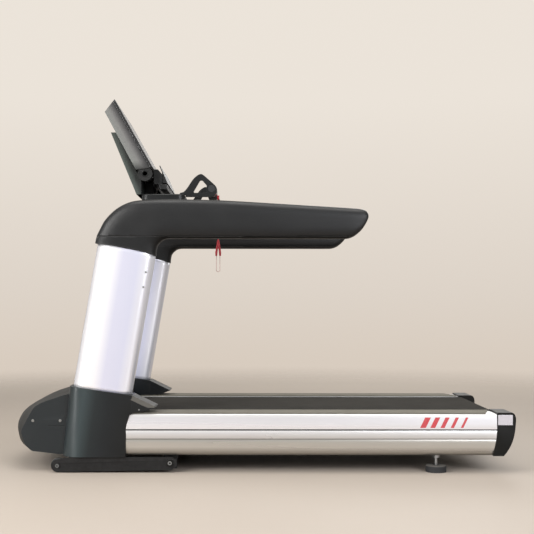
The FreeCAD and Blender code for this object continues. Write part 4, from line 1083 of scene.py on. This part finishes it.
easedSet = [
    # Node, body, finish, edge width, steps
    ("foot_strips", "chassis", "stripRubber", 0.0004, 1),
    ("end_caps", "chassis", "capPlastic", 0.0030, 3),
    ("cap_inserts", "chassis", "insertSilver", 0.0006, 2),
    ("hood_side_panels", "chassis", "panelDark", 0.0020, 3),
    ("belly_pan", "chassis", "panelDark", 0.0010, 2),
    ("power_inlet", "chassis", "capPlastic", 0.0006, 2),
    ("power_rocker", "power_switch", "signalRed", 0.0012, 3),
    ("trim_screws", "chassis", "zincSteel", 0.0006, 2),
    ("console_beam", "chassis", "frameSteel", 0.0015, 2),
    ("dash_panel", "chassis", "consoleDark", 0.0010, 2),
    ("keypad_plate", "chassis", "trimLight", 0.0005, 2),
    ("button_start", "start_key", "startGreen", 0.0006, 2),
    ("button_stop", "stop_key", "signalRed", 0.0006, 2),
    ("toggle_speed", "speed_key", "keyGrey", 0.0008, 2),
    ("toggle_incline", "incline_key", "keyGrey", 0.0008, 2),
    ("display_shell", "display", "displayGreyPaintedShade", 0.0040, 3),
    ("display_bezel", "display", "displayBlack", 0.0030, 3),
    ("display_glass", "display", "screenGlass", 0.0004, 1),
    ("tablet_ledge", "display", "consoleDark", 0.0030, 3),
    ("ledge_lip", "display", "consoleDark", 0.0010, 2),
    ("display_neck", "chassis", "consoleDark", 0.0030, 3),
    ("display_support", "chassis", "supportGreyPaintedShade", 0.0040, 3),
    ("grip_loops", "chassis", "consoleDark", 0.0035, 3),
    ("grip_bar", "chassis", "gripFoam", 0.0020, 2),
    ("pulse_sensors", "chassis", "chromePlate", 0.0005, 2),
    ("switch_pod", "chassis", "consoleDark", 0.0020, 3),
    ("emergency_stop", "emergency_button", "signalRed", 0.0010, 3),
    ("safety_key", "key_and_lanyard", "signalRed", 0.0008, 2),
    ("foot_pads", "rear_pads", "padRubber", 0.0020, 3),
    ("foot_studs", "chassis", "zincSteel", 0.0010, 2),
    ("lift_frame", "lift", "frameSteel", 0.0012, 2),
    ("wheel_bolts", "lift", "wheelHead", 0.0010, 2),
    ("lift_pivot_shaft", "chassis", "pivotHead", 0.0010, 2),
    ("lift_wheel_left", "wheel_left", "wheelNylon", 0.0010, 2),
    ("lift_wheel_right", "wheel_right", "wheelNylon", 0.0010, 2),
]


def makeEased():
    slots = {part["node"]: part["material_slot"] for part in frame["record"]["subparts"]}
    for node, body, finish, width, steps in easedSet:
        finishPiece(softened(node, width, steps), body, slots[node], finishes[finish], node)


makeEased()

# CAD parts that keep their own mesh
plainSet = {
    "frame": "frameSteel", "running_deck": "deckBoard", "deck_cushions": "padRubber",
    "front_roller": "zincSteel", "rear_roller": "zincSteel", "roller_axles": "zincSteel",
    "tension_bolts": "zincSteel", "arm_frames": "frameSteel", "drive_motor": "motorPaint",
    "motor_rotor": "castDark", "drive_belt": "padRubber", "motor_controller": "heatSink",
    "actuator_rod": "zincSteel", "lift_actuator": "motorPaint", "clip_loop": "paleLoop",
    "lanyard_clip": "clipRed",
}
for node, finish in plainSet.items():
    data = frame["nodes"][node].data
    data.materials.clear()
    data.materials.append(finishes[finish])
print("eased pieces made:", len(easedSet))

railSet = {
    # Distance out, height: down the outside, then back up the inside of the wall
    "outside": ((0.3172, 0.2500), (0.4385, 0.2500), (0.4418, 0.2492), (0.4436, 0.2470), (0.4452, 0.2300),
                (0.4464, 0.2080), (0.4470, 0.1875), (0.4466, 0.1862), (0.4442, 0.1858), (0.4440, 0.1802),
                (0.4466, 0.1798), (0.4470, 0.1785), (0.4470, 0.1500), (0.4466, 0.1455), (0.4452, 0.1440),
                (0.4452, 0.1425), (0.4463, 0.1400), (0.4465, 0.1280), (0.4450, 0.1130), (0.4418, 0.0990),
                (0.4370, 0.0870), (0.4310, 0.0785), (0.4240, 0.0740), (0.4160, 0.0730), (0.3840, 0.0730)),
    "inside": ((0.3840, 0.0760), (0.4160, 0.0760), (0.4230, 0.0775), (0.4290, 0.0815), (0.4345, 0.0890),
               (0.4390, 0.1000), (0.4420, 0.1140), (0.4432, 0.1280), (0.4435, 0.1700), (0.4415, 0.1835),
               (0.4425, 0.2060), (0.4412, 0.2440), (0.4380, 0.2465), (0.3172, 0.2465)),
    "frontX": -0.590,
    "rearX": 1.0095,
    "rearLowX": 0.9935,
    "slantTop": 0.165,
    "rows": 60,
}


# The ring's (y, z) points at each place along x
def carried(x, ring):
    return np.stack([x, *(np.broadcast_to(column, x.shape) for column in ring.T)], -1)


# The rail's closed outline carried from the boot to the end cap; below the slant its rear end is drawn
# forward
def makeRails():
    s = railSet
    ring = np.array(s["outside"] + s["inside"])
    low = s["outside"][-1][1]
    back = np.clip((s["slantTop"] - ring[:, 1]) / (s["slantTop"] - low), 0, 1)
    rear = s["rearX"] - (s["rearX"] - s["rearLowX"]) * back
    v = np.linspace(0, 1, s["rows"])[:, None]
    x = s["frontX"] + (rear - s["frontX"]) * v
    piece = outward(meshObject("side_rail_skins", *bothSides(*loft(carried(x, ring)))))
    smooth(piece, angle=32)
    # The rail's finish paints its highlights, reflections and shade by height
    finishPiece(piece, "chassis", "rail_silver", finishes["railSilverPaintedReflection"], "side_rails")


makeRails()


stripeSet = {
    "startX": 0.684,
    "count": 5,
    "pitch": 0.043,
    "width": 0.024,
    "slant": 0.022,
    "lowZ": 0.192,
    "highZ": 0.236,
    "proud": 0.0004,
    "sunk": 0.0008,
    "narrowing": 0.14,
    "lowY": 0.44685,
    "highY": 0.44480,
}


# Plain slanted bars, each a little narrower than the one before, standing just proud of the rail
def makeStripes():
    s = stripeSet
    grids = []
    for i in range(s["count"]):
        x = s["startX"] + i * s["pitch"]
        wide = s["width"] * (1 - s["narrowing"] * i)
        corners = np.array([(x, s["lowY"], s["lowZ"]), (x + wide, s["lowY"], s["lowZ"]),
                            (x + wide + s["slant"], s["highY"], s["highZ"]),
                            (x + s["slant"], s["highY"], s["highZ"])])
        outwards = np.array([0, 1, 0])
        grids.append(loft(np.stack([corners - s["sunk"] * outwards, corners + s["proud"] * outwards])))
    piece = outward(meshObject("rail_stripes", *bothSides(*joinGrids(grids))))
    smooth(piece, angle=30)
    finishPiece(piece, "chassis", "red_plastic", finishes["stripeRed"])


grooveSet = {
    "startX": -0.589,
    "endX": 1.0090,
    "lowZ": 0.1799,
    "highZ": 0.1861,
    "innerY": 0.4436,
    "outerY": 0.4464,
    "rows": 40,
}


# A dark bar of rectangular section along the rail's groove
def makeGroove():
    s = grooveSet
    ring = np.array([(s["innerY"], s["lowZ"]), (s["outerY"], s["lowZ"]), (s["outerY"], s["highZ"]),
                     (s["innerY"], s["highZ"])])
    x = np.linspace(s["startX"], s["endX"], s["rows"])[:, None] + np.zeros(len(ring))
    piece = outward(meshObject("rail_groove_inlays", *bothSides(*loft(carried(x, ring)))))
    smooth(piece, angle=30)
    finishPiece(piece, "chassis", "cap_black", finishes["grooveBlack"])


makeStripes()
makeGroove()
print("rail details made")


# A round floor whose finish thins out with the distance from the middle, so that it has no visible edge
def makeStage():
    s = studioSet
    sides = s["floorSides"]
    turn = np.linspace(0, 2 * math.pi, sides, endpoint=False)
    reach = np.array([s["floorCentre"], s["fadeFrom"], s["floorRadius"]])[:, None]
    points = np.stack([reach * np.cos(turn), reach * np.sin(turn), np.zeros((len(reach), sides))], -1)
    faces = gridFaces(len(reach), sides, True).tolist() + [list(range(sides))]
    piece = outward(meshObject("studio_floor", points, faces))
    material = finishes["studioFloor"]
    tree = material.node_tree
    where = addNode(tree, "ShaderNodeTexCoord")
    away = addNode(tree, "ShaderNodeVectorMath", {"operation": "LENGTH"}, i0=(where, "Object"))
    solid = remap(tree, (away, "Value"), s["fadeFrom"], s["fadeTo"], 1.0, 0.0, "SMOOTHSTEP")
    tree.links.new(solid.outputs[0], tree.nodes["Principled BSDF"].inputs["Alpha"])
    piece.data.materials.append(material)


makeStage()
